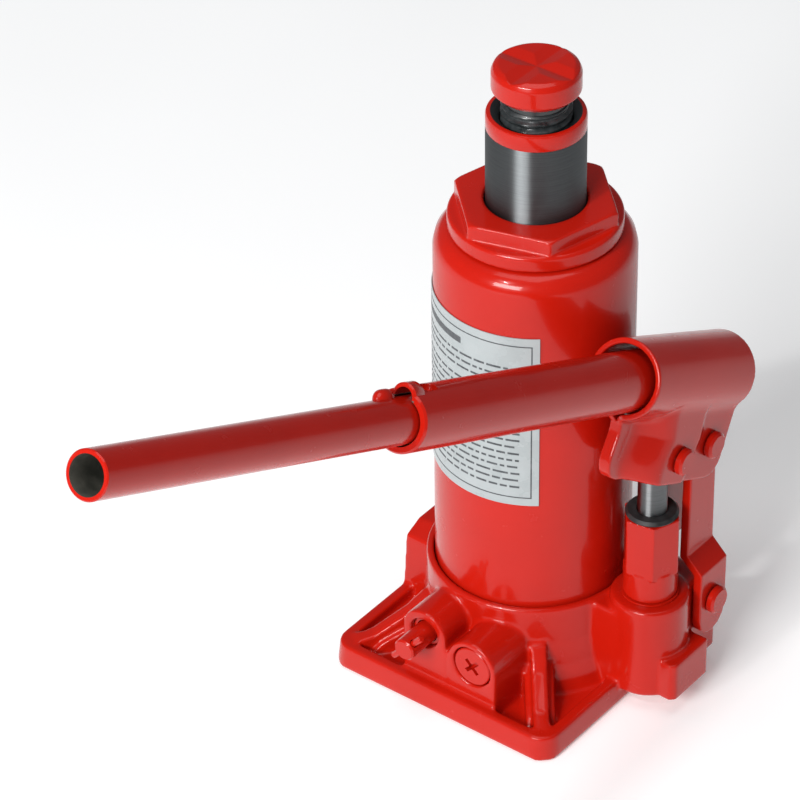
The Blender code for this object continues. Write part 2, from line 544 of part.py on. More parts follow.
def make_handle(look, rear_body, front_body):
    frame = handle_frame()
    low, high = HANDLE_REAR_SPAN
    outline = [(HANDLE_REAR_BORE_R, low), (HANDLE_REAR_R, low), (HANDLE_REAR_R, high - 0.8)]
    outline += [(HANDLE_REAR_R - 0.6, high), (HANDLE_REAR_BORE_R, high)]
    rear = turned("handle_rear_tube", outline, look, rear_body, 32, frame)
    up, roll = handle_side(KEYWAY_TURN)
    raised = Matrix.Translation(up * (HANDLE_REAR_R - 2.6)) @ frame
    arch = turned("keyway_arch_form", [(0.0, high - 6.5), (3.9, high - 6.5), (4.7, high - 5.2),
                                       (4.7, high - 0.5), (4.2, high), (0.0, high)],
                  segments=20, frame=raised)
    hollow = [rod("arch_bore_cutter", HANDLE_REAR_BORE_R, high - 9.0, high + 2.0, frame=frame)]
    combine(arch, hollow, "DIFFERENCE")
    combine(rear, [arch], "UNION")
    channel = rod("keyway_cutter", 3.3, high - 9.0, high + 2.0, segments=20, frame=raised)
    middle = frame @ Vector((0.0, 0.0, high - 11.4))
    slot = rounded_outline((-3.2, -4.6), (3.2, 4.6), 3.1, 3)
    slot_frame = Matrix.Translation(middle) @ Matrix.Rotation(-HANDLE_PITCH, 4, "X") @ roll
    combine(rear, [channel, prism("slot_cutter", slot, 3.0, 16.0, frame=slot_frame)], "DIFFERENCE")
    low, high = HANDLE_FRONT_SPAN
    outline = [(HANDLE_FRONT_BORE_R, low), (HANDLE_FRONT_R, low), (HANDLE_FRONT_R, high - 0.4)]
    outline += [(HANDLE_FRONT_R - 0.4, high), (HANDLE_FRONT_BORE_R, high)]
    front = turned("handle_front_tube", outline, look, front_body, 32, frame)
    roll = handle_side(BUMP_TURN)[1]
    centre = frame @ Vector((0.0, 0.0, HANDLE_REAR_SPAN[1] + 6.6))
    bump_frame = Matrix.Translation(centre) @ Matrix.Rotation(-HANDLE_PITCH, 4, "X") @ roll
    for name, inset, crown in (("foot", 0.0, 2.2), ("crown", 0.9, 3.1)):
        outline = rounded_outline((inset - 3.0, inset - 4.8), (3.0 - inset, 4.8 - inset), 2.0, 3)
        form = prism(f"bump_{name}_form", outline, HANDLE_FRONT_R - 1.2, HANDLE_FRONT_R + crown,
                     frame=bump_frame)
        combine(front, [form], "UNION")


def make_release_valve(looks, body, base_body):
    frame = along((VALVE_X, FACE_Y, VALVE_Z), (0.0, 1.0, 0.0))
    outline = [(0.0, -12.0), (3.7, -12.0), (4.3, -11.4), (4.3, 12.0), (2.0, 15.4), (0.0, 15.4)]
    stem = turned("release_valve_stem", outline, looks["red"], body, 24, frame)
    tilt = Vector((math.cos(math.radians(47.0)), 0.0, math.sin(math.radians(47.0))))
    middle = Vector((VALVE_X, FACE_Y - 9.4, VALVE_Z))
    hole = along(middle - tilt * 10.0, tilt)
    combine(stem, [rod("stem_hole_cutter", 1.55, 0.0, 20.0, segments=12, frame=hole)], "DIFFERENCE")
    rod("release_valve_cross_pin", 1.25, 0.6, 19.4, looks["steel"], body, 12, hole, 0.3)
    ring("release_valve_gland", 4.6, 5.7, 2.2, 6.0, looks["steel"], base_body, 20, frame)
    ring("release_valve_seal", 4.6, 5.7, 6.4, 8.6, looks["rubber"], base_body, 20, frame)
    ball(looks["steel"], "release_ball", (VALVE_X, FACE_Y + 17.8, VALVE_Z), 2.2, base_body)


def ball(look, name, centre, radius, body):
    outline = []
    for step in range(7):
        angle = math.pi * step / 6 - math.pi / 2
        outline.append((max(radius * math.cos(angle), 0.0), radius * math.sin(angle)))
    outline[0], outline[-1] = (0.0, -radius), (0.0, radius)
    turned(name, outline, look, body, 12, Matrix.Translation(centre))


def make_coil_spring(look, name, frame, mean_r, wire_r, turns, length, body):
    """A compression spring as a swept round wire, six sides round the wire."""
    steps, sides = int(turns * 10), 6
    points, faces = [], []
    for step in range(steps + 1):
        angle = math.tau * turns * step / steps
        out = Vector((math.cos(angle), math.sin(angle), 0.0))
        middle = out * mean_r + Vector((0.0, 0.0, length * step / steps))
        for side in range(sides):
            turn = math.tau * side / sides
            offset = out * math.cos(turn) + Vector((0.0, 0.0, math.sin(turn)))
            points.append(frame @ (middle + offset * wire_r))
    for step in range(steps):
        for side in range(sides):
            nxt = (side + 1) % sides
            low, high = step * sides, (step + 1) * sides
            faces.append([low + side, low + nxt, high + nxt, high + side])
    faces.append(list(range(sides)))
    faces.append(list(range(steps * sides, (steps + 1) * sides)))
    new_mesh(name, points, faces, look, body)


def make_plug_screw(looks, body):
    """The cross-head screw that closes the overload valve, with its spring and ball."""
    frame = along((PLUG_X, FACE_Y, PLUG_Z), (0.0, 1.0, 0.0))
    screw = rod("plug_screw", 7.8, 0.5, 8.0, looks["red"], body, 32, frame, 0.4)
    slots = []
    for name, degrees in (("a", 45.0), ("b", 135.0)):
        turn = frame @ Matrix.Rotation(math.radians(degrees), 4, "Z")
        outline = [(-3.6, -0.8), (3.6, -0.8), (3.6, 0.8), (-3.6, 0.8)]
        slots.append(prism(f"cross_slot_{name}", outline, -2.0, 3.0, frame=turn))
    combine(screw, slots, "DIFFERENCE")
    spring_frame = along((PLUG_X, FACE_Y + 8.9, PLUG_Z), (0.0, 1.0, 0.0))
    make_coil_spring(looks["steel"], "relief_spring", spring_frame, 2.2, 0.4, 6, 14.0, body)
    ball(looks["steel"], "relief_ball", (PLUG_X, FACE_Y + 26.2, PLUG_Z), 2.4, body)


def make_small_parts(looks, body):
    ring("tank_foot_gasket", 32.7, TANK_R, 36.3, 38.3, looks["rubber"], body, 48)
    ring("cylinder_gasket", 18.4, 22.7, 32.3, 33.3, looks["brass"], body, 32)
    ring("ram_wiper_ring", 17.8, 19.9, NUT_HEX_Z - 1.3, NUT_HEX_Z + 0.7, looks["rubber"], body, 48)
    turned("pressure_cylinder", [(CYLINDER_BORE_R, CYLINDER_FOOT_Z), (CYLINDER_R, CYLINDER_FOOT_Z),
                                 (CYLINDER_R, CYLINDER_TOP_Z), (CYLINDER_BORE_R, CYLINDER_TOP_Z)],
           looks["steel"], body, 48)
    frame = along((0.0, TANK_R, 158.0), (0.0, 1.0, 0.0))
    plug = [(0.0, -6.0), (3.4, -6.0), (4.2, -4.6), (4.2, 0.3), (6.2, 0.3), (6.2, 1.6), (5.2, 2.6)]
    turned("oil_filler_plug", plug + [(0.0, 2.6)], looks["rubber"], body, 20, frame)
    passage = along((-PLATE_HALF_X, 0.0, 26.0), (1.0, 0.0, 0.0))
    rod("passage_plug", 4.9, 1.2, 7.4, looks["steel"], body, 16, passage, 0.4)
    ball(looks["steel"], "suction_ball", (PUMP_X, 0.0, 24.9), 2.6, body)
    spring = Matrix.Translation((PUMP_X, 0.0, 28.3))
    make_coil_spring(looks["steel"], "suction_spring", spring, 2.2, 0.35, 3, 5.0, body)
    ball(looks["steel"], "delivery_ball", (0.0, 0.0, 27.3), 3.0, body)


def make_label(look, body):
    """A curved instruction plate on the tank's left front."""
    first, last, steps = math.radians(-166.0), math.radians(-51.0), 24
    inner, outer, low, high = TANK_R + 0.2, TANK_R + 0.5, 87.0, 159.2
    points, faces = [], []
    for step in range(steps + 1):
        angle = first + (last - first) * step / steps
        for radius, height in ((inner, low), (outer, low), (outer, high), (inner, high)):
            points.append((radius * math.cos(angle), radius * math.sin(angle), height))
    for step in range(steps):
        for corner in range(4):
            nxt = (corner + 1) % 4
            here, there = step * 4, step * 4 + 4
            faces.append([here + corner, here + nxt, there + nxt, there + corner])
    faces += [[0, 1, 2, 3], [steps * 4 + corner for corner in range(4)]]
    new_mesh("instruction_label", points, faces, look, body)


def main():
    clear_scene()
    looks = make_looks()
    base = make_body("base_body")
    ram = make_body("ram_body", (0.0, 0.0, RAM_FOOT_Z))
    screw = make_body("screw_body", (0.0, 0.0, SCREW_FOOT_Z))
    saddle = make_body("saddle_body", (0.0, 0.0, SADDLE_LOW_Z))
    valve = make_body("valve_body", (VALVE_X, FACE_Y, VALVE_Z))
    piston = make_body("piston_body", PISTON_PIN)
    links = make_body("links_body", LINK_FOOT)
    socket = make_body("socket_body", PISTON_PIN)
    handle_rear = make_body("handle_rear_body", (PUMP_X, 0.0, HANDLE_AXIS_Z))
    handle_front = make_body("handle_front_body", (PUMP_X, 0.0, HANDLE_AXIS_Z))
    make_base(looks["red"], base)
    make_tank(looks["red"], base)
    make_top_nut(looks["red"], base)
    make_small_parts(looks, base)
    make_label(looks["paper"], base)
    make_ram_group(looks, ram)
    make_screw(looks["black"], screw)
    make_saddle(looks["red"], saddle)
    make_pump(looks, base, piston)
    make_release_valve(looks, valve, base)
    make_plug_screw(looks, base)
    make_link("link_inner", -1, looks["red"], links)
    make_link("link_outer", 1, looks["red"], links)
    make_socket(looks["red"], socket)
    make_pin("piston_pin", PISTON_PIN, 3.5, 11.85, 5.0, looks["red"], socket)
    make_pin("upper_link_pin", LINK_TOP, 3.5, 10.55, 5.0, looks["red"], socket)
    make_pin("lower_link_pin", LINK_FOOT, 3.7, 14.6, 5.2, looks["red"], links)
    make_handle(looks["red"], handle_rear, handle_front)


main()
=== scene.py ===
import json
import math
import random

import bmesh
import bpy
from mathutils import Matrix, Vector

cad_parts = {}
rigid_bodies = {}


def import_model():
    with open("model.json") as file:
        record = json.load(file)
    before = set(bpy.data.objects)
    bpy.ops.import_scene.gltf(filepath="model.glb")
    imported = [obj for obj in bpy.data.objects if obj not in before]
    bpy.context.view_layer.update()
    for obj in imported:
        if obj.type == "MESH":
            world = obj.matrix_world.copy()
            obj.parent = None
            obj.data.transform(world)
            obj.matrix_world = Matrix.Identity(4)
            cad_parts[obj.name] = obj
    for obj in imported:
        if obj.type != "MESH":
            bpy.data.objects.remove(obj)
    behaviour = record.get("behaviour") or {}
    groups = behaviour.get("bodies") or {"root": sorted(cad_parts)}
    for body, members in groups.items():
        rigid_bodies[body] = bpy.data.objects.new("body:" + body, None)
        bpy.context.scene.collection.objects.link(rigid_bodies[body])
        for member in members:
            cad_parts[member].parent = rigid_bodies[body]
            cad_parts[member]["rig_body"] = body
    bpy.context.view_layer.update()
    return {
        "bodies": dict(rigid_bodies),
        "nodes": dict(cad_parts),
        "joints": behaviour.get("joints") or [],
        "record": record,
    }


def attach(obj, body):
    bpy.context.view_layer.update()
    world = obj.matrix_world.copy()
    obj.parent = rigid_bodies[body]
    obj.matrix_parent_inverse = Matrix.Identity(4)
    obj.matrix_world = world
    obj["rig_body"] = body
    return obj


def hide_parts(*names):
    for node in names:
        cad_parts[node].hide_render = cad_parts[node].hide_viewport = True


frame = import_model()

# What Blender starts with is removed; the frame's own objects stay
for leftover in list(bpy.data.objects):
    if "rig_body" not in leftover and not leftover.name.startswith("body:"):
        bpy.data.objects.remove(leftover, do_unlink=True)

# Lengths below are in millimetres. The origin is on the cylinder axis at floor level.
MM = 0.001
# Rounds have this many times the segments that their calls name
DETAIL = 3
FINE = "fine_"
# Name of each kept piece, with its object and the body it rides on
PIECES = {}

# Tank, pressure cylinder and top nut
TANK_R, TANK_WALL = 36.0, 3.0
TANK_FOOT_Z, TANK_SHOULDER_Z, TANK_TOP_Z = 38.6, 175.2, 182.4
HUB_R, HUB_TOP_Z = 39.2, 41.4
CYLINDER_R, CYLINDER_TOP_Z = 23.0, 186.4
FILLER_Z = 158.0
NUT_FLANGE_R, NUT_CORNER_R, NUT_CORNER_TURN = 31.0, 30.4, math.radians(-44.0)
NUT_FLANGE_Z, NUT_HEX_Z, NUT_TOP_Z = 183.0, 189.2, 195.0
NUT_BORE_R, NUT_GROOVE_R = 18.0, 20.2
# Clearance round a piece that slides or is seated
GAP = 0.3

# Ram, extension screw and saddle, partly raised
RAM_R, RAM_BORE_R, RAM_FOOT_Z, RAM_TOP_Z = 17.6, 12.9, 82.0, 229.6
RAM_BORE_FLOOR_Z = 150.0
# The ram is painted above this height
BAND_Z = 223.5
SCREW_R, SCREW_FOOT_Z = 12.5, 166.0
THREAD_PITCH, THREAD_DEPTH = 3.0, 1.25
SADDLE_R, SADDLE_LOW_Z, SADDLE_TOP_Z = 15.7, 237.0, 248.3

# Base casting
PLATE_HALF_X, PLATE_FRONT_Y, PLATE_REAR_Y, PLATE_H = 49.7, -59.3, 51.0, 10.0
PLATE_CORNER_R, RIM_W, POCKET_FLOOR_Z = 8.0, 5.4, 5.5
FACE_Y = -54.0
VALVE_X, VALVE_Z, VALVE_BOSS_R = -9.5, 29.5, 9.6
PLUG_X, PLUG_Z, PLUG_BOSS_R = 12.0, 24.2, 10.6
PASSAGE_Z, LUG_R = 26.0, 8.8

# Pump, its linkage and the handle
PUMP_X, PUMP_TOP_Z, PUMP_HEX_Z, BOSS_TOP_Z, BOSS_R = 52.3, 82.0, 56.6, 45.3, 14.5
PUMP_HEX_R, PUMP_HEX_TURN = 10.9, math.radians(-52.0)
PISTON_R, PISTON_TOP_Z, PISTON_EYE_R = 5.4, 101.5, 8.0
# The eye is wide for its pin: the pin swings on the linkage and the rod slides straight
PISTON_EYE_BORE_R = 5.6
PISTON_PIN = Vector((PUMP_X, 0.0, 108.7))
LINK_TOP = Vector((PUMP_X, 20.6, 103.2))
LINK_FOOT = Vector((PUMP_X, 19.8, 35.5))
# The links reach past their foot pin, down to a round foot centred at LINK_FOOT_Z
LINK_TOP_R, LINK_FOOT_R, LINK_FOOT_Z, LINK_SHEET = 7.9, 8.2, 28.6, 3.7
# Holes for the pins: in the socket and the links' tops, and in the links' feet and the lug
SOCKET_BORE_R, LINK_TOP_BORE_R, LINK_FOOT_BORE_R = 3.8, 3.9, 4.0
SOCKET_FRONT = Vector((PUMP_X, -19.7, 150.2))
SOCKET_PITCH, SOCKET_LENGTH = math.radians(26.8), 68.0
SOCKET_MID_R, SHEET = 13.35, 2.1
CHEEK_DEPTH, CHEEK_CORNER_R = 37.4, 8.0
# Rows of the mesh down the cheek, along the socket and round its tube
CHEEK_ROWS, CHEEK_ROW_H, SOCKET_STEPS, SOCKET_ARC_STEPS = 21, 0.87, 80, 72
HANDLE_PITCH, HANDLE_AXIS_Z = math.radians(24.58), 139.99
HANDLE_REAR_R, HANDLE_REAR_BORE_R, HANDLE_REAR_SPAN = 10.7, 8.35, (-37.0, 159.6)
HANDLE_FRONT_R, HANDLE_FRONT_BORE_R, HANDLE_FRONT_SPAN = 7.85, 6.4, (110.0, 318.5)
# The front tube is turned in the rear one, so that its bump can't slide back out of the keyway
KEYWAY_TURN, BUMP_TURN = math.radians(3.0), math.radians(26.0)

# Label on the tank and the frame printed on it, as angles round the tank and heights
LABEL_FIRST, LABEL_LAST = math.radians(-166.0), math.radians(-51.0)
LABEL_LOW_Z, LABEL_HIGH_Z, LABEL_LIFT, LABEL_FILM = 87.0, 159.2, 0.2, 0.3
PRINT_FIRST, PRINT_LAST = math.radians(-163.0), math.radians(-55.0)
PRINT_LOW_Z, PRINT_HIGH_Z, PRINT_LINE = 90.2, 156.0, 0.45

X_AXIS, Y_AXIS, Z_AXIS = (1.0, 0.0, 0.0), (0.0, 1.0, 0.0), (0.0, 0.0, 1.0)
AT_PUMP = Matrix.Translation((PUMP_X, 0.0, 0.0))


def new_mesh(name, points, faces, body=None):
    """A closed mesh from points in millimetres. A piece with a body is kept; others are helpers."""
    mesh = bpy.data.meshes.new(FINE + name)
    mesh.from_pydata([Vector(point) * MM for point in points], [], faces)
    form = bmesh.new()
    form.from_mesh(mesh)
    bmesh.ops.recalc_face_normals(form, faces=form.faces)
    form.to_mesh(mesh)
    form.free()
    obj = bpy.data.objects.new(FINE + name, mesh)
    bpy.context.collection.objects.link(obj)
    if body:
        PIECES[name] = (obj, body)
    return obj


def combine(target, others, operation):
    """Cuts or joins each helper at once, then removes it."""
    for other in others:
        boolean = target.modifiers.new("boolean", "BOOLEAN")
        boolean.operation = operation
        boolean.solver = "MANIFOLD"
        boolean.object = other
        apply_modifiers(target)
        bpy.data.objects.remove(other, do_unlink=True)
    return target


def apply_modifiers(obj):
    """Puts the mesh that the modifiers make in place of the object's own."""
    bpy.context.view_layer.update()
    graph = bpy.context.evaluated_depsgraph_get()
    mesh = bpy.data.meshes.new_from_object(obj.evaluated_get(graph))
    old = obj.data
    obj.modifiers.clear()
    obj.data = mesh
    bpy.data.meshes.remove(old)


def turned_points(profile, segments, turn=0.0):
    """Rings of points and quads for a closed (radius, height) outline turned about Z."""
    points, faces, rings = [], [], []
    for radius, height in profile:
        if radius == 0.0:
            rings.append([len(points)])
            points.append(Vector((0.0, 0.0, height)))
            continue
        rings.append(list(range(len(points), len(points) + segments)))
        for step in range(segments):
            angle = turn + math.tau * step / segments
            points.append(Vector((radius * math.cos(angle), radius * math.sin(angle), height)))
    for ring, after in zip(rings, rings[1:] + rings[:1]):
        if len(ring) == 1 and len(after) == 1:
            continue
        for step in range(segments):
            nxt = (step + 1) % segments
            corners = [ring[step % len(ring)], ring[nxt % len(ring)]]
            corners += [after[nxt % len(after)], after[step % len(after)]]
            faces.append(list(dict.fromkeys(corners)))
    return points, faces


def turned(name, profile, body=None, segments=32, frame=None, turn=0.0):
    """A solid turned about Z, or about the Z of a frame; six segments stay a hexagon."""
    if segments > 6:
        segments *= DETAIL
    points, faces = turned_points(profile, segments, turn)
    if frame is not None:
        points = [frame @ point for point in points]
    return new_mesh(name, points, faces, body)


def ring(name, inner, outer, low, high, body=None, segments=32, frame=None):
    """A plain tube between two radii and two heights."""
    outline = [(inner, low), (outer, low), (outer, high), (inner, high)]
    return turned(name, outline, body, segments, frame)


def rod(name, radius, low, high, body=None, segments=24, frame=None, chamfer=0.0):
    """A plain cylinder between two heights, with or without chamfered ends."""
    outline = [(0.0, low), (radius - chamfer, low), (radius, low + chamfer)]
    outline += [(radius, high - chamfer), (radius - chamfer, high), (0.0, high)]
    if not chamfer:
        outline = [(0.0, low), (radius, low), (radius, high), (0.0, high)]
    return turned(name, outline, body, segments, frame)


def prism(name, outline, low, high, body=None, frame=None, taper=1.0):
    """An outline in the local XY plane extruded along local Z; taper scales its far end."""
    count = len(outline)
    points = [Vector((x, y, low)) for x, y in outline]
    points += [Vector((x * taper, y * taper, high)) for x, y in outline]
    faces = [list(range(count)), list(range(count, 2 * count))]
    for step in range(count):
        nxt = (step + 1) % count
        faces.append([step, nxt, count + nxt, count + step])
    if frame is not None:
        points = [frame @ point for point in points]
    return new_mesh(name, points, faces, body)


def block(name, low, high):
    """A box between two corners."""
    outline = [(low[0], low[1]), (high[0], low[1]), (high[0], high[1]), (low[0], high[1])]
    return prism(name, outline, low[2], high[2])


def rounded_outline(low, high, radius, steps=4):
    """A rectangle with round corners, anticlockwise."""
    centres = [(high[0] - radius, high[1] - radius), (low[0] + radius, high[1] - radius)]
    centres += [(low[0] + radius, low[1] + radius), (high[0] - radius, low[1] + radius)]
    outline = []
    for quarter, (x, y) in enumerate(centres):
        for step in range(steps * DETAIL + 1):
            angle = math.pi / 2 * (quarter + step / (steps * DETAIL))
            outline.append((x + radius * math.cos(angle), y + radius * math.sin(angle)))
    return outline


def arc(x, y, radius, first, last, step):
    """Points on a circle round (x, y), between two angles in whole degrees."""
    turns = [math.radians(degrees) for degrees in range(first, last + 1, step)]
    return [(x + radius * math.cos(turn), y + radius * math.sin(turn)) for turn in turns]


def along(origin, direction):
    """A frame at origin whose local Z points along direction."""
    turn = Vector(Z_AXIS).rotation_difference(Vector(direction)).to_matrix()
    return Matrix.Translation(Vector(origin)) @ turn.to_4x4()


def side_frame(origin_x):
    """A frame whose local X and Y are world Y and Z, extruding along world +X."""
    return Matrix(((0, 0, 1, origin_x), (1, 0, 0, 0), (0, 1, 0, 0), (0, 0, 0, 1)))


def make_base(body):
    """One casting: plate, hub, corner ribs, valve face, cross block, pump boss, link lug."""
    corners = rounded_outline(
        (-PLATE_HALF_X, PLATE_FRONT_Y), (PLATE_HALF_X, PLATE_REAR_Y), PLATE_CORNER_R
    )
    base = prism("base_casting", corners, 0.0, PLATE_H, body, taper=0.985)
    pocket = rounded_outline(
        (-PLATE_HALF_X + RIM_W, PLATE_FRONT_Y + RIM_W),
        (PLATE_HALF_X - RIM_W, PLATE_REAR_Y - RIM_W),
        PLATE_CORNER_R - 4.0,
        3,
    )
    cutter = prism("pocket_cutter", pocket, POCKET_FLOOR_Z, 20.0)
    combine(base, [cutter], "DIFFERENCE")
    hub = [(0.0, 2.0), (46.0, 2.0), (43.0, 9.0), (40.6, 16.0), (HUB_R, 26.0)]
    hub += [(HUB_R, HUB_TOP_Z - 0.6), (HUB_R - 0.6, HUB_TOP_Z), (0.0, HUB_TOP_Z)]
    adds = [turned("hub_form", hub, segments=48)]
    for side, end_y in ((-1, -1), (1, -1), (-1, 1), (1, 1)):
        adds += make_corner_rib(side, end_y)
    adds += make_valve_face()
    adds += make_cross_block()
    combine(base, adds, "UNION")
    return combine(base, make_base_cutters(), "DIFFERENCE")


def make_corner_rib(side, end):
    """A wedge falling from the hub to a corner of the plate rim."""
    reach = (PLATE_HALF_X - 7.5, (PLATE_FRONT_Y if end < 0 else PLATE_REAR_Y) - end * 7.5)
    length = math.hypot(*reach)
    outline = [(30.0, 3.0), (length + 3.0, 3.0), (length + 3.0, PLATE_H - 0.2)]
    outline += [(length - 6.0, PLATE_H + 2.0), (48.0, 20.0), (41.0, 26.5), (30.0, 28.0)]
    turn = math.atan2(reach[1], side * reach[0])
    upright = Matrix(((1, 0, 0, 0), (0, 0, -1, 0), (0, 1, 0, 0), (0, 0, 0, 1)))
    frame = Matrix.Rotation(turn, 4, "Z") @ upright
    foot = [(30.0, 3.2), (length - 2.0, 3.2), (length - 8.0, 9.4), (46.0, 16.0), (30.0, 23.0)]
    return [
        prism(f"rib_form_{side}_{end}", outline, -3.0, 3.0, frame=frame),
        prism(f"rib_foot_{side}_{end}", foot, -5.4, 5.4, frame=frame),
    ]


def make_valve_face():
    """The flat-faced bosses round the release valve and the plug screw, joined to the hub."""
    forms = []
    for name, x, z, radius in (
        ("valve", VALVE_X, VALVE_Z, VALVE_BOSS_R),
        ("plug", PLUG_X, PLUG_Z, PLUG_BOSS_R),
    ):
        frame = along((x, FACE_Y, z), Y_AXIS)
        forms.append(rod(f"{name}_boss_form", radius, 0.0, 26.0, frame=frame))
        low, high = (x - radius, FACE_Y, 3.0), (x + radius, FACE_Y + 26.0, z)
        forms.append(block(f"{name}_foot_form", low, high))
    return forms


def make_cross_block():
    """The block across the hub for the drilled passage, with the pump boss and link lug."""
    wing = [(-15.4, 3.0), (15.4, 3.0), (14.0, 31.0), (5.0, 34.4), (-5.0, 34.4), (-13.0, 31.0)]
    forms = [prism("wing_form", wing, -PLATE_HALF_X + 0.4, 0.0, frame=side_frame(0.0))]
    forms.append(rod("boss_form", BOSS_R, 6.4, BOSS_TOP_Z, segments=32,
                     frame=AT_PUMP, chamfer=0.8))
    neck = [(0.0, -14.0), (PUMP_X, -14.0), (PUMP_X, 10.4), (0.0, 10.4)]
    forms.append(prism("boss_neck_form", neck, 6.4, HUB_TOP_Z - 0.8))
    step = [(PUMP_X, -9.0), (68.6, -9.8), (70.4, -8.2), (70.4, 12.0), (PUMP_X, 12.4)]
    forms.append(prism("boss_step_form", step, 7.2, 23.4))
    lug = [(0.0, 6.0), (28.6, 6.0), (28.6, 36.0)]
    lug += arc(LINK_FOOT.y, LINK_FOOT.z, LUG_R, 15, 90, 15)
    lug.append((0.0, LINK_FOOT.z + LUG_R))
    forms.append(prism("lug_form", lug, -10.0, 10.0, frame=side_frame(PUMP_X)))
    return forms


def make_base_cutters():
    """Seats, bores and oil ways of the casting, and the room for the link pin and its clip."""
    cutters = [
        ring("tank_seat_cutter", 32.2, TANK_R + 0.35, 36.0, 60.0, segments=64),
        rod("cylinder_seat_cutter", CYLINDER_R + 0.35, 32.0, 60.0, segments=48),
        rod("oil_way_cutter", 5.0, 24.0, 50.0, segments=16),
        rod("pump_bore_cutter", 8.3, 22.0, 60.0, frame=AT_PUMP),
    ]
    valve = along((VALVE_X, FACE_Y - 1.0, VALVE_Z), Y_AXIS)
    cutters.append(rod("valve_bore_cutter", 6.0, 0.0, 23.3, segments=20, frame=valve))
    cutters.append(rod("valve_way_cutter", 2.3, 19.0, 52.0, segments=10, frame=valve))
    plug = along((PLUG_X, FACE_Y - 1.0, PLUG_Z), Y_AXIS)
    cutters.append(rod("plug_bore_cutter", 8.2, 0.0, 10.6, segments=32, frame=plug))
    cutters.append(rod("relief_way_cutter", 3.4, 9.0, 30.0, segments=16, frame=plug))
    passage = along((-PLATE_HALF_X - 1.0, 0.0, PASSAGE_Z), X_AXIS)
    cutters.append(rod("passage_cutter", 2.7, 0.0, 97.0, segments=14, frame=passage))
    cutters.append(rod("passage_mouth_cutter", 5.2, 0.0, 9.0, segments=16, frame=passage))
    pin = along((PUMP_X - 18.2, LINK_FOOT.y, LINK_FOOT.z), X_AXIS)
    cutters.append(rod("link_pin_cutter", LINK_FOOT_BORE_R, 0.0, 60.0, segments=20, frame=pin))
    cutters.append(rod("clip_room_cutter", 6.3, 1.4, 3.4, segments=24, frame=pin))
    return cutters


def make_tank(body):
    """A tube whose upper end is rolled in to a rounded shoulder under the nut."""
    inner = TANK_R - TANK_WALL
    outline = [(inner, TANK_FOOT_Z), (TANK_R, TANK_FOOT_Z), (TANK_R, TANK_SHOULDER_Z)]
    for degrees in (25, 50, 72):
        angle = math.radians(degrees)
        outline.append((27.6 + 8.4 * math.cos(angle), TANK_SHOULDER_Z + 7.8 * math.sin(angle)))
    outline += [(27.5, TANK_TOP_Z + 0.3), (27.5, TANK_TOP_Z - 2.8), (inner, TANK_SHOULDER_Z - 2.0)]
    tank = turned("reservoir_tank", outline, body, segments=64)
    filler = along((0.0, TANK_R - 8.0, FILLER_Z), Y_AXIS)
    return combine(tank, [rod("filler_cutter", 4.6, 0.0, 16.0, segments=16, frame=filler)],
                   "DIFFERENCE")


def make_top_nut(body):
    """Hexagon over a round flange, with a skirt inside the tank and a grooved bore."""
    outline = [(0.0, 174.0), (27.0, 174.0), (27.0, NUT_FLANGE_Z)]
    outline += [(NUT_FLANGE_R - 0.5, NUT_FLANGE_Z), (NUT_FLANGE_R, NUT_FLANGE_Z + 0.6)]
    outline += [(NUT_FLANGE_R, NUT_HEX_Z - 0.8), (NUT_FLANGE_R - 0.8, NUT_HEX_Z)]
    outline.append((0.0, NUT_HEX_Z))
    nut = turned("top_nut", outline, body, segments=48)
    outline = [(0.0, NUT_HEX_Z - 3.0), (NUT_CORNER_R, NUT_HEX_Z - 3.0)]
    outline += [(NUT_CORNER_R, NUT_TOP_Z), (0.0, NUT_TOP_Z)]
    hexagon = turned("hexagon_form", outline, segments=6, turn=NUT_CORNER_TURN)
    outline = [(0.0, NUT_HEX_Z - 4.0), (40.0, NUT_HEX_Z - 4.0), (40.0, NUT_TOP_Z - 5.6)]
    outline += [(27.4, NUT_TOP_Z + 0.7), (0.0, NUT_TOP_Z + 0.7)]
    combine(hexagon, [turned("chamfer_form", outline, segments=48)], "INTERSECT")
    combine(nut, [hexagon], "UNION")
    outline = [(0.0, 160.0), (CYLINDER_R + GAP, 160.0), (CYLINDER_R + GAP, CYLINDER_TOP_Z + GAP)]
    outline += [(NUT_BORE_R, CYLINDER_TOP_Z + GAP), (NUT_BORE_R, NUT_HEX_Z - 1.6)]
    outline += [(NUT_GROOVE_R, NUT_HEX_Z - 1.6), (NUT_GROOVE_R, NUT_HEX_Z + 1.0)]
    outline += [(NUT_BORE_R, NUT_HEX_Z + 1.0), (NUT_BORE_R, NUT_TOP_Z - 0.8)]
    outline += [(20.0, NUT_TOP_Z + 1.2), (0.0, NUT_TOP_Z + 1.2)]
    return combine(nut, [turned("nut_bore_cutter", outline, segments=48)], "DIFFERENCE")


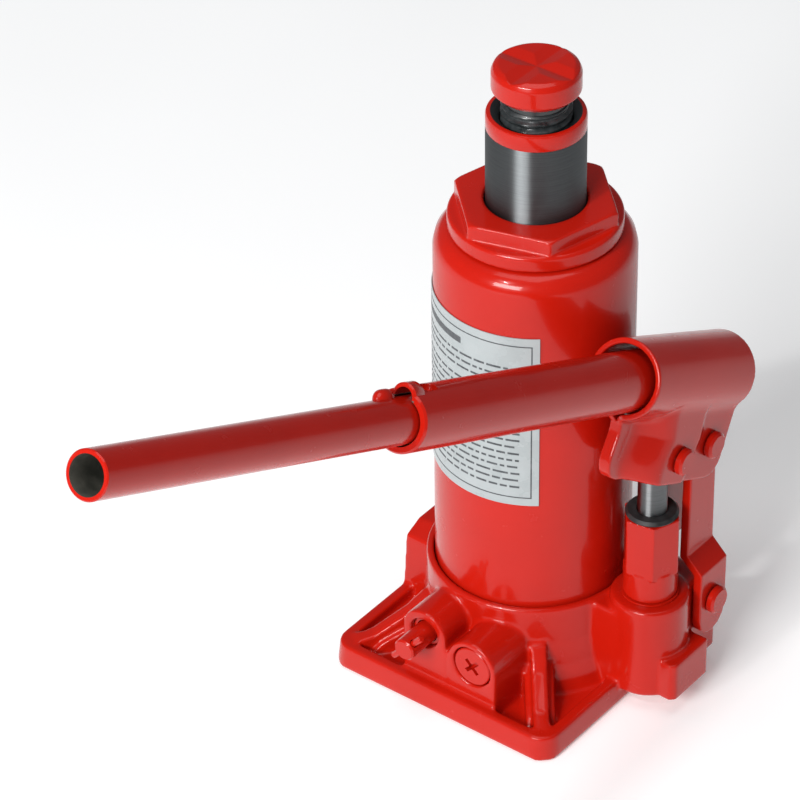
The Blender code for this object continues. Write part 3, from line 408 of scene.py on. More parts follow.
def make_saddle(body):
    """A round cap with a crossed pair of shallow V grooves in its top."""
    outline = [(0.0, SADDLE_LOW_Z + 5.5), (8.0, SADDLE_LOW_Z + 5.5), (8.0, SADDLE_LOW_Z)]
    outline += [(SADDLE_R - 2.2, SADDLE_LOW_Z), (SADDLE_R, SADDLE_LOW_Z + 2.2)]
    outline += [(SADDLE_R, SADDLE_TOP_Z - 2.8), (SADDLE_R - 0.8, SADDLE_TOP_Z - 1.0)]
    outline += [(SADDLE_R - 2.5, SADDLE_TOP_Z), (0.0, SADDLE_TOP_Z)]
    saddle = turned("saddle", outline, body, segments=48)
    groove = [(-5.4, SADDLE_TOP_Z + 0.2), (0.0, SADDLE_TOP_Z - 1.2), (5.4, SADDLE_TOP_Z + 0.2)]
    cutters = []
    for name, degrees in (("a", 0.0), ("b", 90.0)):
        frame = Matrix.Rotation(math.radians(degrees), 4, "Z") @ side_frame(0.0)
        cutters.append(prism(f"saddle_groove_{name}", groove, -20.0, 20.0, frame=frame))
    return combine(saddle, cutters, "DIFFERENCE")


def make_pump(body, piston_body):
    """Pump cylinder with its hexagon, its gasket and wiper cap, and the piston with its eye."""
    bore, top = PISTON_R + GAP, PUMP_TOP_Z - 1.4
    outline = [(bore, 24.0), (7.9, 24.0), (7.9, BOSS_TOP_Z + 1.0), (10.0, BOSS_TOP_Z + 1.0)]
    outline += [(10.0, PUMP_HEX_Z + 1.0), (bore, PUMP_HEX_Z + 1.0)]
    pump = turned("pump_cylinder", outline, body, 32, AT_PUMP)
    outline = [(0.0, PUMP_HEX_Z), (PUMP_HEX_R, PUMP_HEX_Z), (PUMP_HEX_R, top), (0.0, top)]
    hexagon = turned("pump_hexagon_form", outline, None, 6, AT_PUMP, PUMP_HEX_TURN)
    low, high = PUMP_HEX_Z - 5.0, top + 5.0
    bore_cut = rod("pump_hexagon_bore", bore, low, high, segments=32, frame=AT_PUMP)
    combine(hexagon, [bore_cut], "DIFFERENCE")
    combine(pump, [hexagon], "UNION")
    ring("pump_gasket", 8.4, 10.6, BOSS_TOP_Z + GAP / 2, BOSS_TOP_Z + 0.85, body, 32, AT_PUMP)
    cap = [(bore, top + GAP), (9.6, top + GAP), (9.7, top + 0.7), (8.8, PUMP_TOP_Z + 0.4)]
    turned("pump_wiper_cap", cap + [(bore, PUMP_TOP_Z + 0.4)], body, 32, AT_PUMP)
    outline = [(0.0, 43.4), (PISTON_R - 1.0, 43.4), (PISTON_R, 44.4), (PISTON_R, PISTON_TOP_Z)]
    piston = turned("pump_piston", outline + [(0.0, PISTON_TOP_Z)], piston_body, 24, AT_PUMP)
    turns = [math.tau * step / 24 for step in range(24)]
    eye_outline = [(PISTON_EYE_R * math.cos(t), PISTON_EYE_R * math.sin(t)) for t in turns]
    eye_frame = side_frame(PUMP_X) @ Matrix.Translation((0.0, PISTON_PIN.z, 0.0))
    combine(piston, [prism("piston_eye_form", eye_outline, -7.6, 7.6, frame=eye_frame)], "UNION")
    pin = along((PUMP_X - 12.0, 0.0, PISTON_PIN.z), X_AXIS)
    eye_bore = rod("piston_eye_cutter", PISTON_EYE_BORE_R, 0.0, 24.0, frame=pin)
    combine(piston, [eye_bore], "DIFFERENCE")


def link_outline():
    """Side view of a link, foot to top, in world Y and Z."""
    foot = arc(LINK_FOOT.y, LINK_FOOT_Z, LINK_FOOT_R, 180, 360, 30)
    return foot + arc(LINK_TOP.y, LINK_TOP.z, LINK_TOP_R, 0, 180, 30)


def make_link(name, side, body):
    """A strap that runs inside the cheeks above and steps outward to straddle the lug."""
    upper, lower, thick = 4.2 * side, 10.6 * side, LINK_SHEET * side
    bend_low, bend_high = 50.0, 55.0
    section = [(lower, 10.0), (lower + thick, 10.0), (lower + thick, bend_low)]
    section += [(upper + thick, bend_high + 1.2), (upper + thick, 120.0), (upper, 120.0)]
    section += [(upper, bend_high), (lower, bend_low - 1.2)]
    frame = Matrix(((1, 0, 0, PUMP_X), (0, 0, -1, 40.0), (0, 1, 0, 0), (0, 0, 0, 1)))
    link = prism(name, section, 0.0, 40.0, body, frame)
    shape = prism(f"{name}_outline", link_outline(), -20.0, 20.0, frame=side_frame(PUMP_X))
    combine(link, [shape], "INTERSECT")
    holes = []
    for place, centre, radius in (
        ("top", LINK_TOP, LINK_TOP_BORE_R),
        ("foot", LINK_FOOT, LINK_FOOT_BORE_R),
    ):
        frame = along((PUMP_X - 20.0, centre.y, centre.z), X_AXIS)
        holes.append(rod(f"{name}_{place}_cutter", radius, 0.0, 40.0, segments=20, frame=frame))
    return combine(link, holes, "DIFFERENCE")


def make_pin(name, centre, radius, reach, head_r, body):
    """A headed pin along X: head on the +X side, plain end grooved for its clip."""
    frame = along(centre, X_AXIS)
    outline = [(0.0, -reach - 3.2), (radius - 0.6, -reach - 3.2), (radius, -reach - 2.6)]
    outline += [(radius, -reach - 1.8), (radius - 0.9, -reach - 1.8), (radius - 0.9, -reach - 0.4)]
    outline += [(radius, -reach - 0.4), (radius, reach + GAP), (head_r, reach + GAP)]
    outline += [(head_r, reach + 2.2), (head_r - 0.9, reach + 3.0), (0.0, reach + 3.0)]
    turned(name, outline, body, 24, frame)
    ring(name + "_clip", radius - 0.65, radius + 2.0, -reach - 1.6, -reach - 0.6, body, 24, frame)


def cheek_half_width(travel):
    """Half the distance between the cheek sheets: pinched in front, wide over the piston eye."""
    if travel > 47.0:
        return 9.2
    if travel > 44.4:
        return 9.2 + 1.3 * (47.0 - travel) / 2.6
    step = min(max((travel - 7.0) / 19.0, 0.0), 1.0)
    return 1.3 + 9.2 * step * step * (3.0 - 2.0 * step)


def cheek_edges(depth):
    """Front and rear edge of the sheet, as travel along the tube, at a depth under its axis."""
    if depth <= 13.0:
        return 0.0, SOCKET_LENGTH
    front = 4.4 * min((depth - 13.0) / 4.0, 1.0) - 1.0 * min(max(depth - 17.0, 0.0) / 11.0, 1.0)
    rounding = max(depth - (CHEEK_DEPTH - CHEEK_CORNER_R), 0.0) / CHEEK_CORNER_R
    inset = CHEEK_CORNER_R * (1.0 - math.sqrt(max(1.0 - rounding * rounding, 0.0)))
    return front + inset, SOCKET_LENGTH - inset


def socket_section(travel):
    """Centreline of the bent sheet across the tube, with its outward normals."""
    half = cheek_half_width(travel)
    corner = math.asin(min(half / SOCKET_MID_R, 1.0))
    first = corner + 0.3
    side = []
    for row in range(CHEEK_ROWS):
        depth = CHEEK_DEPTH - CHEEK_ROW_H * row
        side.append((cheek_half_width(travel + 0.16 * (depth - 20.0)), depth, 1.0, 0.0))
    bend_top = (SOCKET_MID_R * math.sin(first), SOCKET_MID_R * math.cos(first))
    bend_mid = (half, SOCKET_MID_R * math.cos(corner))
    bend_low = (half, bend_mid[1] + 3.0)
    bend = (bend_low, bend_mid, bend_top)
    for share in (0.0, 0.25, 0.5, 0.75):
        weights = ((1.0 - share) ** 2, 2.0 * share * (1.0 - share), share ** 2)
        across, depth = (
            sum(weight * point[axis] for weight, point in zip(weights, bend)) for axis in (0, 1)
        )
        turn = math.pi / 2 + (first - math.pi / 2) * share
        side.append((across, depth, math.sin(turn), math.cos(turn)))
    line = list(side)
    for step in range(SOCKET_ARC_STEPS + 1):
        angle = first + (math.tau - 2.0 * first) * step / SOCKET_ARC_STEPS
        normal = (math.sin(angle), math.cos(angle))
        line.append((SOCKET_MID_R * normal[0], SOCKET_MID_R * normal[1], *normal))
    for across, depth, normal_x, normal_d in reversed(side):
        line.append((-across, depth, -normal_x, normal_d))
    return line


def make_socket(body):
    """Sheet rolled into a tube, its two edges brought down as cheeks for the pins."""
    axis = Vector((0.0, math.cos(SOCKET_PITCH), -math.sin(SOCKET_PITCH)))
    down = Vector((0.0, -math.sin(SOCKET_PITCH), -math.cos(SOCKET_PITCH)))
    points, loops = [], []
    for station in range(SOCKET_STEPS + 1):
        travel = SOCKET_LENGTH * station / SOCKET_STEPS
        section = socket_section(travel)
        outer, inner = [], []
        for across, depth, normal_x, normal_d in section:
            front, rear = cheek_edges(depth)
            place = front + (rear - front) * travel / SOCKET_LENGTH
            for sign, store in ((0.5, outer), (-0.5, inner)):
                x = across + sign * SHEET * normal_x
                d = depth + sign * SHEET * normal_d
                store.append(len(points))
                points.append(SOCKET_FRONT + Vector((x, 0, 0)) + axis * place + down * d)
        loops.append(outer + inner[::-1])
    faces = []
    for before, after in zip(loops, loops[1:]):
        count = len(before)
        for step in range(count):
            nxt = (step + 1) % count
            faces.append([before[step], before[nxt], after[nxt], after[step]])
    half = len(loops[0]) // 2
    for loop in (loops[0], loops[-1]):
        for step in range(half - 1):
            faces.append([loop[step], loop[step + 1], loop[-step - 2], loop[-step - 1]])
    socket = new_mesh("handle_socket", points, faces, body)
    holes = []
    for name, centre in (("piston", PISTON_PIN), ("link", LINK_TOP)):
        frame = along((PUMP_X - 20.0, centre.y, centre.z), X_AXIS)
        hole = rod(f"socket_{name}_cutter", SOCKET_BORE_R, 0.0, 40.0, segments=20, frame=frame)
        holes.append(hole)
    return combine(socket, holes, "DIFFERENCE")


def handle_frame():
    """A frame on the handle's axis, with local Z toward its free end."""
    direction = (0.0, -math.cos(HANDLE_PITCH), math.sin(HANDLE_PITCH))
    return along((PUMP_X, 0.0, HANDLE_AXIS_Z), direction)


def handle_side(turn):
    """Outward direction at an angle round the handle from its top, toward -X, and that roll."""
    top = Vector((0.0, math.sin(HANDLE_PITCH), math.cos(HANDLE_PITCH)))
    side = -Vector(X_AXIS)
    return top * math.cos(turn) + side * math.sin(turn), Matrix.Rotation(-turn, 4, "Y")


def make_handle(rear_body, front_body):
    """Two nested tubes: an arched keyway and slot at the joint, and a bump past it."""
    frame = handle_frame()
    low, high = HANDLE_REAR_SPAN
    outline = [(HANDLE_REAR_BORE_R, low), (HANDLE_REAR_R, low), (HANDLE_REAR_R, high - 0.8)]
    outline += [(HANDLE_REAR_R - 0.6, high), (HANDLE_REAR_BORE_R, high)]
    rear = turned("handle_rear_tube", outline, rear_body, 32, frame)
    up, roll = handle_side(KEYWAY_TURN)
    raised = Matrix.Translation(up * (HANDLE_REAR_R - 2.6)) @ frame
    arch = turned("keyway_arch_form", [(0.0, high - 6.5), (3.9, high - 6.5), (4.7, high - 5.2),
                                       (4.7, high - 0.5), (4.2, high), (0.0, high)],
                  segments=20, frame=raised)
    hollow = [rod("arch_bore_cutter", HANDLE_REAR_BORE_R, high - 9.0, high + 2.0, frame=frame)]
    combine(arch, hollow, "DIFFERENCE")
    combine(rear, [arch], "UNION")
    channel = rod("keyway_cutter", 3.3, high - 9.0, high + 2.0, segments=20, frame=raised)
    middle = frame @ Vector((0.0, 0.0, high - 11.4))
    slot = rounded_outline((-3.2, -4.6), (3.2, 4.6), 3.1, 3)
    slot_frame = Matrix.Translation(middle) @ Matrix.Rotation(-HANDLE_PITCH, 4, "X") @ roll
    combine(rear, [channel, prism("slot_cutter", slot, 3.0, 16.0, frame=slot_frame)], "DIFFERENCE")
    low, high = HANDLE_FRONT_SPAN
    outline = [(HANDLE_FRONT_BORE_R, low), (HANDLE_FRONT_R, low), (HANDLE_FRONT_R, high - 0.4)]
    outline += [(HANDLE_FRONT_R - 0.4, high), (HANDLE_FRONT_BORE_R, high)]
    front = turned("handle_front_tube", outline, front_body, 32, frame)
    roll = handle_side(BUMP_TURN)[1]
    centre = frame @ Vector((0.0, 0.0, HANDLE_REAR_SPAN[1] + 6.6))
    bump_frame = Matrix.Translation(centre) @ Matrix.Rotation(-HANDLE_PITCH, 4, "X") @ roll
    # Radius and height on the frame that stretches it to 6 mm across and 9.6 mm along the tube
    dome = [(0.0, HANDLE_FRONT_R - 1.6), (1.0, HANDLE_FRONT_R - 1.6)]
    for step in range(11):
        angle = math.pi / 2 * step / 11
        dome.append((math.cos(angle) ** 0.7, HANDLE_FRONT_R - 0.6 + 3.7 * math.sin(angle)))
    dome.append((0.0, HANDLE_FRONT_R + 3.1))
    stretched = bump_frame @ Matrix.Diagonal((3.0, 4.8, 1.0, 1.0))
    combine(front, [turned("bump_form", dome, segments=16, frame=stretched)], "UNION")


def make_release_valve(body, base_body):
    """The stem that turns, with its cross pin, and the gland, seal and ball fixed in the base."""
    frame = along((VALVE_X, FACE_Y, VALVE_Z), Y_AXIS)
    outline = [(0.0, -12.0), (3.7, -12.0), (4.3, -11.4), (4.3, 12.0), (2.0, 15.4), (0.0, 15.4)]
    stem = turned("release_valve_stem", outline, body, 24, frame)
    tilt = Vector((math.cos(math.radians(47.0)), 0.0, math.sin(math.radians(47.0))))
    middle = Vector((VALVE_X, FACE_Y - 9.4, VALVE_Z))
    hole = along(middle - tilt * 10.0, tilt)
    combine(stem, [rod("stem_hole_cutter", 1.55, 0.0, 20.0, segments=12, frame=hole)], "DIFFERENCE")
    rod("release_valve_cross_pin", 1.25, 0.6, 19.4, body, 12, hole, 0.3)
    ring("release_valve_gland", 4.6, 5.7, 2.2, 6.0, base_body, 20, frame)
    ring("release_valve_seal", 4.6, 5.7, 6.4, 8.6, base_body, 20, frame)
    ball("release_ball", (VALVE_X, FACE_Y + 17.8, VALVE_Z), 2.2, base_body)


def ball(name, centre, radius, body):
    """A steel ball of a valve."""
    outline = []
    for step in range(7):
        angle = math.pi * step / 6 - math.pi / 2
        outline.append((max(radius * math.cos(angle), 0.0), radius * math.sin(angle)))
    outline[0], outline[-1] = (0.0, -radius), (0.0, radius)
    turned(name, outline, body, 12, Matrix.Translation(centre))


def make_coil_spring(name, frame, mean_r, wire_r, turns, length, body):
    """A compression spring: a wire of six sides swept along a helix."""
    steps, sides = int(turns * 10), 6
    points, faces = [], []
    for step in range(steps + 1):
        angle = math.tau * turns * step / steps
        out = Vector((math.cos(angle), math.sin(angle), 0.0))
        middle = out * mean_r + Vector((0.0, 0.0, length * step / steps))
        for side in range(sides):
            turn = math.tau * side / sides
            offset = out * math.cos(turn) + Vector((0.0, 0.0, math.sin(turn)))
            points.append(frame @ (middle + offset * wire_r))
    for step in range(steps):
        for side in range(sides):
            nxt = (side + 1) % sides
            low, high = step * sides, (step + 1) * sides
            faces.append([low + side, low + nxt, high + nxt, high + side])
    faces.append(list(range(sides)))
    faces.append(list(range(steps * sides, (steps + 1) * sides)))
    new_mesh(name, points, faces, body)


def make_plug_screw(body):
    """The cross-head screw that closes the overload valve, with its spring and ball."""
    frame = along((PLUG_X, FACE_Y, PLUG_Z), Y_AXIS)
    screw = rod("plug_screw", 7.8, 0.5, 8.0, body, 32, frame, 0.4)
    slots = []
    for name, degrees in (("a", 45.0), ("b", 135.0)):
        turn = frame @ Matrix.Rotation(math.radians(degrees), 4, "Z")
        outline = [(-3.6, -0.8), (3.6, -0.8), (3.6, 0.8), (-3.6, 0.8)]
        slots.append(prism(f"cross_slot_{name}", outline, -2.0, 3.0, frame=turn))
    combine(screw, slots, "DIFFERENCE")
    spring_frame = along((PLUG_X, FACE_Y + 8.9, PLUG_Z), Y_AXIS)
    make_coil_spring("relief_spring", spring_frame, 2.2, 0.4, 6, 14.0, body)
    ball("relief_ball", (PLUG_X, FACE_Y + 26.2, PLUG_Z), 2.4, body)


def make_label(body):
    """A curved instruction plate on the tank's left front."""
    steps, low, high = 24, LABEL_LOW_Z, LABEL_HIGH_Z
    inner = TANK_R + LABEL_LIFT
    outer = TANK_R + LABEL_LIFT + LABEL_FILM
    points, faces = [], []
    for step in range(steps + 1):
        angle = LABEL_FIRST + (LABEL_LAST - LABEL_FIRST) * step / steps
        for radius, height in ((inner, low), (outer, low), (outer, high), (inner, high)):
            points.append((radius * math.cos(angle), radius * math.sin(angle), height))
    for step in range(steps):
        for corner in range(4):
            nxt = (corner + 1) % 4
            here, there = step * 4, step * 4 + 4
            faces.append([here + corner, here + nxt, there + nxt, there + corner])
    faces += [[0, 1, 2, 3], [steps * 4 + corner for corner in range(4)]]
    new_mesh("instruction_label", points, faces, body)


def make_screw(body):
    """The extension screw with its full thread: a helical ridge on a round core."""
    around, rows = 96, 330
    low, high = SCREW_FOOT_Z + 1.6, SADDLE_LOW_Z - 3.2
    points, faces = [], []
    for row in range(rows + 1):
        height = low + (high - low) * row / rows
        fade = min((height - low) / 2.0, (high - height) / 1.5, 1.0)
        for step in range(around):
            phase = (height / THREAD_PITCH - step / around) % 1.0
            ridge = max(0.0, min(1.0, 1.7 * abs(2.0 * phase - 1.0) - 0.35))
            radius = SCREW_R - THREAD_DEPTH + THREAD_DEPTH * ridge * max(fade, 0.0)
            angle = math.tau * step / around
            points.append((radius * math.cos(angle), radius * math.sin(angle), height))
    for row in range(rows):
        for step in range(around):
            nxt = (step + 1) % around
            here, above = row * around, (row + 1) * around
            faces.append([here + step, here + nxt, above + nxt, above + step])
    faces.append(list(range(around)))
    faces.append([rows * around + step for step in range(around)])
    screw = new_mesh("extension_screw", points, faces, body)
    neck = [(0.0, high - 1.0), (SCREW_R - 1.6, high - 1.0), (SCREW_R - 1.6, SADDLE_LOW_Z - GAP)]
    neck += [(7.6, SADDLE_LOW_Z - GAP), (7.6, SADDLE_LOW_Z + 5.2), (0.0, SADDLE_LOW_Z + 5.2)]
    foot = [(0.0, SCREW_FOOT_Z), (SCREW_R - 1.6, SCREW_FOOT_Z), (SCREW_R - 1.4, low + 1.0)]
    foot += [(0.0, low + 1.0)]
    helpers = [turned("screw_neck", neck, segments=32), turned("screw_foot", foot, segments=32)]
    return combine(screw, helpers, "UNION")


def make_label_print(body):
    """Ink on the label: an inset frame, a heading bar, and plain bars where lines of text run."""
    radius = TANK_R + 0.52
    outside = radius + 0.03
    first, last = PRINT_FIRST, PRINT_LAST
    points, faces = [], []

    def patch(left, right, low, high):
        """One inked area between two angles and two heights."""
        steps = max(2, int((right - left) / 0.06))
        start = len(points)
        for step in range(steps + 1):
            angle = left + (right - left) * step / steps
            for r, z in ((radius, low), (outside, low), (outside, high), (radius, high)):
                points.append((r * math.cos(angle), r * math.sin(angle), z))
        for step in range(steps):
            for corner in range(4):
                here, there, nxt = start + step * 4, start + step * 4 + 4, (corner + 1) % 4
                faces.append([here + corner, here + nxt, there + nxt, there + corner])
        faces.append([start + corner for corner in range(4)])
        faces.append([start + steps * 4 + corner for corner in range(4)])

    line, low, high = PRINT_LINE, PRINT_LOW_Z, PRINT_HIGH_Z
    patch(first, last, low, low + line)
    patch(first, last, high - line, high)
    patch(first, first + line / radius, low + line, high - line)
    patch(last - line / radius, last, low + line, high - line)
    patch(first + 0.22, first + 1.12, high - 6.0, high - 3.4)
    spread = random.Random(5)
    row = high - 9.6
    while row > low + 3.0:
        left, end = first + 0.1, last - 0.12
        if spread.random() < 0.16:
            end -= spread.uniform(0.3, 0.8)
        while left < end - 0.03:
            width = min(spread.uniform(0.035, 0.16), end - left)
            patch(left, left + width, row - 0.8, row)
            left += width + 0.026
        row -= 2.9 if spread.random() > 0.12 else 4.6
    return new_mesh("label_print", points, faces, body)


# Voxel size in mm and smoothing passes for pieces whose edges are cast, formed or thickly painted
SOFTENED = {
    "base_casting": (0.6, 18),
    "top_nut": (0.4, 14),
    "saddle": (0.3, 5),
    "handle_socket": (0.4, 7),
    "link_inner": (0.4, 5),
    "link_outer": (0.4, 5),
    "pump_cylinder": (0.34, 7),
}


def soften(obj, voxel, passes):
    """Rounds every edge and fills every inner corner a little, as a casting or thick paint has."""
    remesh = obj.modifiers.new("remesh", "REMESH")
    remesh.mode = "VOXEL"
    remesh.voxel_size = voxel * MM
    smooth = obj.modifiers.new("smooth", "SMOOTH")
    smooth.factor = 0.5
    smooth.iterations = passes
    apply_modifiers(obj)


class Nodes:
    """A short way to build a Principled material whose pattern is fixed to the object."""

    def __init__(self, name):
        self.material = bpy.data.materials.new(name)
        self.material.use_nodes = True
        self.tree = self.material.node_tree
        self.shader = self.tree.nodes["Principled BSDF"]
        self.coordinates = self.tree.nodes.new("ShaderNodeTexCoord").outputs["Object"]
        self.last_bump = None

    def link(self, source, target):
        self.tree.links.new(source, target)
        return self

    def set(self, **values):
        """Constants on the shader's sockets, with _ for each space."""
        for key, value in values.items():
            self.shader.inputs[key.replace("_", " ")].default_value = value
        return self

    def noise(self, scale, detail=4.0, stretch=None, roughness=0.55):
        """A noise fixed to the object, its scale in cycles per metre."""
        texture = self.tree.nodes.new("ShaderNodeTexNoise")
        texture.inputs["Scale"].default_value = scale
        texture.inputs["Detail"].default_value = detail
        texture.inputs["Roughness"].default_value = roughness
        source = self.coordinates
        if stretch:
            mapping = self.tree.nodes.new("ShaderNodeMapping")
            mapping.inputs["Scale"].default_value = stretch
            self.link(source, mapping.inputs["Vector"])
            source = mapping.outputs["Vector"]
        self.link(source, texture.inputs["Vector"])
        return texture.outputs["Fac"]

    def colour(self, factor, stops):
        """Base colour from a ramp of (place, shade) stops."""
        ramp = self.tree.nodes.new("ShaderNodeValToRGB")
        while len(ramp.color_ramp.elements) < len(stops):
            ramp.color_ramp.elements.new(0.5)
        for element, (place, shade) in zip(ramp.color_ramp.elements, stops):
            element.position = place
            element.color = (*shade, 1.0)
        self.link(factor, ramp.inputs["Fac"])
        self.link(ramp.outputs["Color"], self.shader.inputs["Base Color"])
        return self

    def roughness(self, factor, low, high):
        """Roughness that follows a noise between two values."""
        spread = self.tree.nodes.new("ShaderNodeMapRange")
        spread.inputs["From Min"].default_value = 0.3
        spread.inputs["From Max"].default_value = 0.7
        spread.inputs["To Min"].default_value = low
        spread.inputs["To Max"].default_value = high
        self.link(factor, spread.inputs["Value"])
        self.link(spread.outputs["Result"], self.shader.inputs["Roughness"])
        return self

    def bump(self, factor, strength, distance_mm):
        """Relief, added to any before it."""
        bump = self.tree.nodes.new("ShaderNodeBump")
        bump.inputs["Strength"].default_value = strength
        bump.inputs["Distance"].default_value = distance_mm * MM
        self.link(factor, bump.inputs["Height"])
        if self.last_bump:
            self.link(self.last_bump, bump.inputs["Normal"])
        self.last_bump = bump.outputs["Normal"]
        self.link(self.last_bump, self.shader.inputs["Normal"])
        return self


ENAMEL_RED = (0.5, 0.0095, 0.003)


def enamel(name, waviness, grain):
    """Thick gloss enamel: orange peel over whatever lies under it."""
    paint = Nodes(name)
    deep = tuple(channel * 0.93 for channel in ENAMEL_RED)
    paint.colour(paint.noise(38.0, 3.0), [(0.3, deep), (0.7, ENAMEL_RED)])
    paint.roughness(paint.noise(120.0, 4.0), 0.2, 0.28)
    paint.bump(paint.noise(70.0, 2.0), waviness, 0.9)
    paint.bump(paint.noise(650.0, 3.0), grain, 0.12)
    paint.set(Coat_Weight=0.3, Coat_Roughness=0.04, Specular_IOR_Level=0.2)
    return paint.material


def steel(name, dark, light, low, high, stretch, ground=0.0):
    """Ground or polished steel with its grinding marks along or around the piece."""
    metal = Nodes(name)
    if ground:
        tangent = metal.tree.nodes.new("ShaderNodeTangent")
        tangent.direction_type = "RADIAL"
        tangent.axis = "Z"
        metal.link(tangent.outputs["Tangent"], metal.shader.inputs["Tangent"])
        metal.set(Anisotropic=ground, Anisotropic_Rotation=0.25)
    marks = metal.noise(60.0, 5.0, stretch, 0.7)
    metal.colour(marks, [(0.32, dark), (0.68, light)])
    metal.roughness(marks, low, high)
    metal.bump(marks, 0.05, 0.01)
    metal.set(Metallic=1.0)
    return metal.material


def matt(name, dark, light, rough_low, rough_high, scale, grain, coat=0.0):
    """A plain surface with a fine grain: rubber, film, ink, oiled or bare steel."""
    surface = Nodes(name)
    pattern = surface.noise(scale, 5.0)
    surface.colour(pattern, [(0.35, dark), (0.65, light)])
    surface.roughness(pattern, rough_low, rough_high)
    surface.bump(surface.noise(scale * 6.0, 3.0), grain, 0.06)
    surface.set(Coat_Weight=coat)
    return surface.material


def make_finishes():
    """Every material on the object, by a short key."""
    turned_marks, along_marks = (1.0, 1.0, 40.0), (30.0, 30.0, 1.0)
    return {
        "cast": enamel("red_enamel_over_casting", 0.12, 0.04),
        "pressed": enamel("red_enamel_over_sheet", 0.025, 0.02),
        "tube": enamel("red_enamel_over_tube", 0.015, 0.02),
        # Both polished steels are kept far darker than bare steel: the steel's own grey, darkened
        # as painted shade for the dark surroundings it reflects. Their grinding marks are real.
        "ram": steel("ground_ram_steel", (0.12, 0.128, 0.132), (0.17, 0.18, 0.184), 0.4, 0.45,
                     turned_marks, ground=1.0),
        "bright": steel("bright_steel", (0.19, 0.2, 0.205), (0.27, 0.28, 0.285), 0.38, 0.44,
                        turned_marks, ground=1.0),
        # The bored steel is kept much lighter than the ram's outside: the bare steel's own grey,
        # raised as painted light inside the shaded bore.
        "bore": steel("bored_steel", (0.4, 0.42, 0.43), (0.6, 0.62, 0.63), 0.3, 0.45, along_marks),
        "thread": matt("oiled_black_steel", (0.012, 0.015, 0.016), (0.04, 0.046, 0.048), 0.22, 0.42,
                       260.0, 0.2, 0.3),
        "rubber": matt("black_rubber", (0.012, 0.012, 0.012), (0.028, 0.029, 0.03), 0.4, 0.6, 300.0,
                       0.3),
        "brass": steel("brass", (0.55, 0.36, 0.12), (0.78, 0.56, 0.24), 0.25, 0.4, turned_marks),
        "inside": matt("tube_inside", (0.075, 0.075, 0.062), (0.14, 0.134, 0.11), 0.5, 0.75, 180.0,
                       0.4),
        "label": matt("label_film", (0.35, 0.385, 0.39), (0.39, 0.425, 0.43), 0.24, 0.34, 90.0,
                      0.05, 0.3),
        "ink": matt("label_ink", (0.045, 0.05, 0.055), (0.09, 0.097, 0.105), 0.4, 0.5, 500.0, 0.05),
    }


# Pieces that don't take the finish of their material slot
FINISH_OF = {
    "base_casting": "cast",
    "top_nut": "cast",
    "reservoir_tank": "pressed",
    "handle_front_tube": "tube",
    "handle_rear_tube": "tube",
    "handle_socket": "pressed",
    "extension_screw": "thread",
    "pump_wiper_cap": "rubber",
    "pump_piston": "bright",
    "ram": "ram",
    "instruction_label": "label",
    "label_print": "ink",
    "release_valve_cross_pin": "pressed",
    "pump_gasket": "pressed",
}
FINISH_OF_SLOT = {"red_paint": "pressed", "cast_red": "cast", "steel": "bright", "rubber": "rubber",
                  "brass": "brass", "label": "label", "black_steel": "thread"}


def paint_with(obj, looks, name, slot):
    """Leaves one material on an object: its own finish, or else its slot's."""
    obj.data.materials.clear()
    obj.data.materials.append(looks[FINISH_OF.get(name, FINISH_OF_SLOT[slot])])


def second_finish(obj, look, chosen):
    """Gives the faces whose centre passes the test chosen(x, y, z), in millimetres, a look."""
    obj.data.materials.append(look)
    index = len(obj.data.materials) - 1
    for face in obj.data.polygons:
        if chosen(*(face.center / MM)):
            face.material_index = index


def dress(looks, slot_of):
    """Softens, shades and paints each piece, and puts it on its body in its node's place."""
    for name, (obj, body) in PIECES.items():
        if name in SOFTENED:
            soften(obj, *SOFTENED[name])
        obj.data.shade_smooth()
        if name not in SOFTENED:
            obj.data.set_sharp_from_angle(angle=math.radians(32))
        node = "instruction_label" if name == "label_print" else name
        paint_with(obj, looks, name, slot_of[node])
        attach(obj, body)
        if name != "label_print":
            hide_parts(name)
    inverse = handle_frame().inverted()

    def from_handle_axis(x, y, z):
        place = inverse @ Vector((x, y, z))
        return math.hypot(place.x, place.y)

    second_finish(PIECES["handle_front_tube"][0], looks["inside"],
                  lambda x, y, z: from_handle_axis(x, y, z) < HANDLE_FRONT_BORE_R + 0.2)
    second_finish(PIECES["handle_rear_tube"][0], looks["inside"],
                  lambda x, y, z: from_handle_axis(x, y, z) < HANDLE_REAR_BORE_R + 0.2)
    ram = PIECES["ram"][0]
    second_finish(ram, looks["pressed"],
                  lambda x, y, z: z > BAND_Z and math.hypot(x, y) > RAM_R - 2.6)
    # The bore's faces take the lighter steel: painted light inside the ram.
    second_finish(ram, looks["bore"],
                  lambda x, y, z: z > RAM_BORE_FLOOR_Z and math.hypot(x, y) < RAM_BORE_R + 0.4)


def make_ram(body):
    """The ram: a steel tube closed at its foot, ground below its painted band."""
    outline = [(0.0, 63.3), (9.0, 63.3), (9.0, RAM_FOOT_Z), (RAM_R, RAM_FOOT_Z)]
    outline += [(RAM_R, BAND_Z - 0.3), (RAM_R - 0.12, BAND_Z), (RAM_R, BAND_Z + 0.25)]
    outline += [(RAM_R, RAM_TOP_Z - 1.1), (RAM_R - 0.3, RAM_TOP_Z - 0.3)]
    outline += [(RAM_R - 0.9, RAM_TOP_Z), (RAM_R - 1.7, RAM_TOP_Z)]
    outline += [(RAM_BORE_R, RAM_TOP_Z - 2.4), (RAM_BORE_R, RAM_BORE_FLOOR_Z), (0.0, 146.0)]
    turned("ram", outline, body, segments=64)


CAMERA_LENS, CAMERA_PLACE = 191.2, (0.7235, -0.9962, 1.0056)
# Azimuth, pitch and roll
CAMERA_TURN = (0.6672, 0.6304, -0.0153)


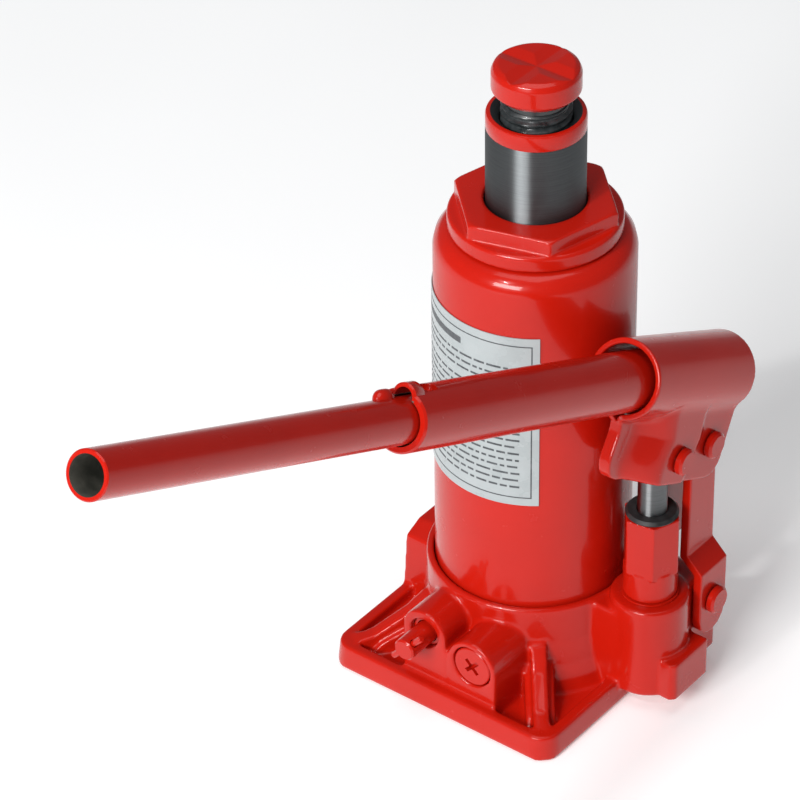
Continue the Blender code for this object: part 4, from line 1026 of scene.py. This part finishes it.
def look_frame(azimuth, pitch, roll):
    """Rotation of a camera that looks back along the given direction."""
    back = Vector((math.sin(azimuth) * math.cos(pitch), -math.cos(azimuth) * math.cos(pitch),
                   math.sin(pitch)))
    right = Vector(Z_AXIS).cross(back).normalized()
    up = back.cross(right)
    axis_x = right * math.cos(roll) + up * math.sin(roll)
    axis_y = up * math.cos(roll) - right * math.sin(roll)
    return Matrix((axis_x, axis_y, back)).transposed().to_4x4()


def add_camera():
    """The photograph's viewpoint, in metres and radians."""
    data = bpy.data.cameras.new("camera")
    data.sensor_width = 36.0
    data.lens = CAMERA_LENS
    data.clip_end = 20.0
    camera = bpy.data.objects.new("camera", data)
    camera.matrix_world = Matrix.Translation(CAMERA_PLACE) @ look_frame(*CAMERA_TURN)
    bpy.context.collection.objects.link(camera)
    bpy.context.scene.camera = camera


def add_area(name, place, aim, size, power):
    """A white rectangular lamp; place, aim and size in metres, power in watts."""
    data = bpy.data.lights.new(name, "AREA")
    data.shape = "RECTANGLE"
    data.size, data.size_y = size
    data.energy = power
    light = bpy.data.objects.new(name, data)
    toward = Vector(aim) - Vector(place)
    turn = toward.to_track_quat("-Z", "Y").to_matrix().to_4x4()
    light.matrix_world = Matrix.Translation(place) @ turn
    bpy.context.collection.objects.link(light)


def add_stage():
    """A plain pale floor, a hair under the feet of the base, that glows a little."""
    mesh = bpy.data.meshes.new("floor")
    half = 4.0
    corners = [(-half, -half, 0.0), (half, -half, 0.0), (half, half, 0.0), (-half, half, 0.0)]
    mesh.from_pydata(corners, [], [[0, 1, 2, 3]])
    floor = bpy.data.objects.new("floor", mesh)
    floor.location.z = -0.0003
    bpy.context.collection.objects.link(floor)
    paper = Nodes("studio_paper")
    paper.colour(paper.noise(6.0, 2.0), [(0.3, (0.9, 0.9, 0.9)), (0.7, (0.92, 0.92, 0.92))])
    paper.set(Roughness=0.8, Specular_IOR_Level=0.1, Emission_Color=(1.0, 1.0, 1.0, 1.0))
    paper.set(Emission_Strength=0.2)
    mesh.materials.append(paper.material)


def add_lights():
    """Soft lamps in front and above, a small one for highlights, and a pale world."""
    add_area("key_softbox", (0.25, -2.9, 1.7), (0.0, 0.0, 0.1), (1.6, 1.0), 104.0)
    add_area("top_softbox", (0.0, -0.1, 1.9), (0.0, -0.05, 0.1), (1.2, 1.2), 9.5)
    add_area("small_front_lamp", (-0.05, -1.25, 1.5), (0.0, 0.0, 0.15), (0.08, 0.08), 6.0)
    world = bpy.data.worlds.new("studio")
    world.use_nodes = True
    background = world.node_tree.nodes["Background"]
    background.inputs["Color"].default_value = (0.9, 0.95, 1.0, 1.0)
    background.inputs["Strength"].default_value = 0.16
    bpy.context.scene.world = world
    bpy.context.scene.view_settings.view_transform = "Standard"


def main():
    looks = make_finishes()
    slot_of = {part["node"]: part["material_slot"] for part in frame["record"]["subparts"]}
    make_base("base")
    make_tank("base")
    make_top_nut("base")
    make_label("base")
    make_label_print("base")
    make_ram("ram")
    make_screw("screw")
    make_saddle("saddle")
    make_pump("base", "piston")
    make_release_valve("release_valve", "base")
    make_plug_screw("base")
    make_link("link_inner", -1, "links")
    make_link("link_outer", 1, "links")
    make_socket("socket")
    make_pin("piston_pin", PISTON_PIN, 3.5, 11.85, 5.0, "socket")
    make_pin("upper_link_pin", LINK_TOP, 3.5, 10.55, 5.0, "socket")
    make_pin("lower_link_pin", LINK_FOOT, 3.7, 14.6, 5.2, "links")
    make_handle("handle_rear", "handle_front")
    dress(looks, slot_of)
    # Small pieces show the frame's own shapes
    for name, node in frame["nodes"].items():
        if name not in PIECES:
            paint_with(node, looks, name, slot_of[name])
    add_stage()
    add_lights()
    add_camera()


main()
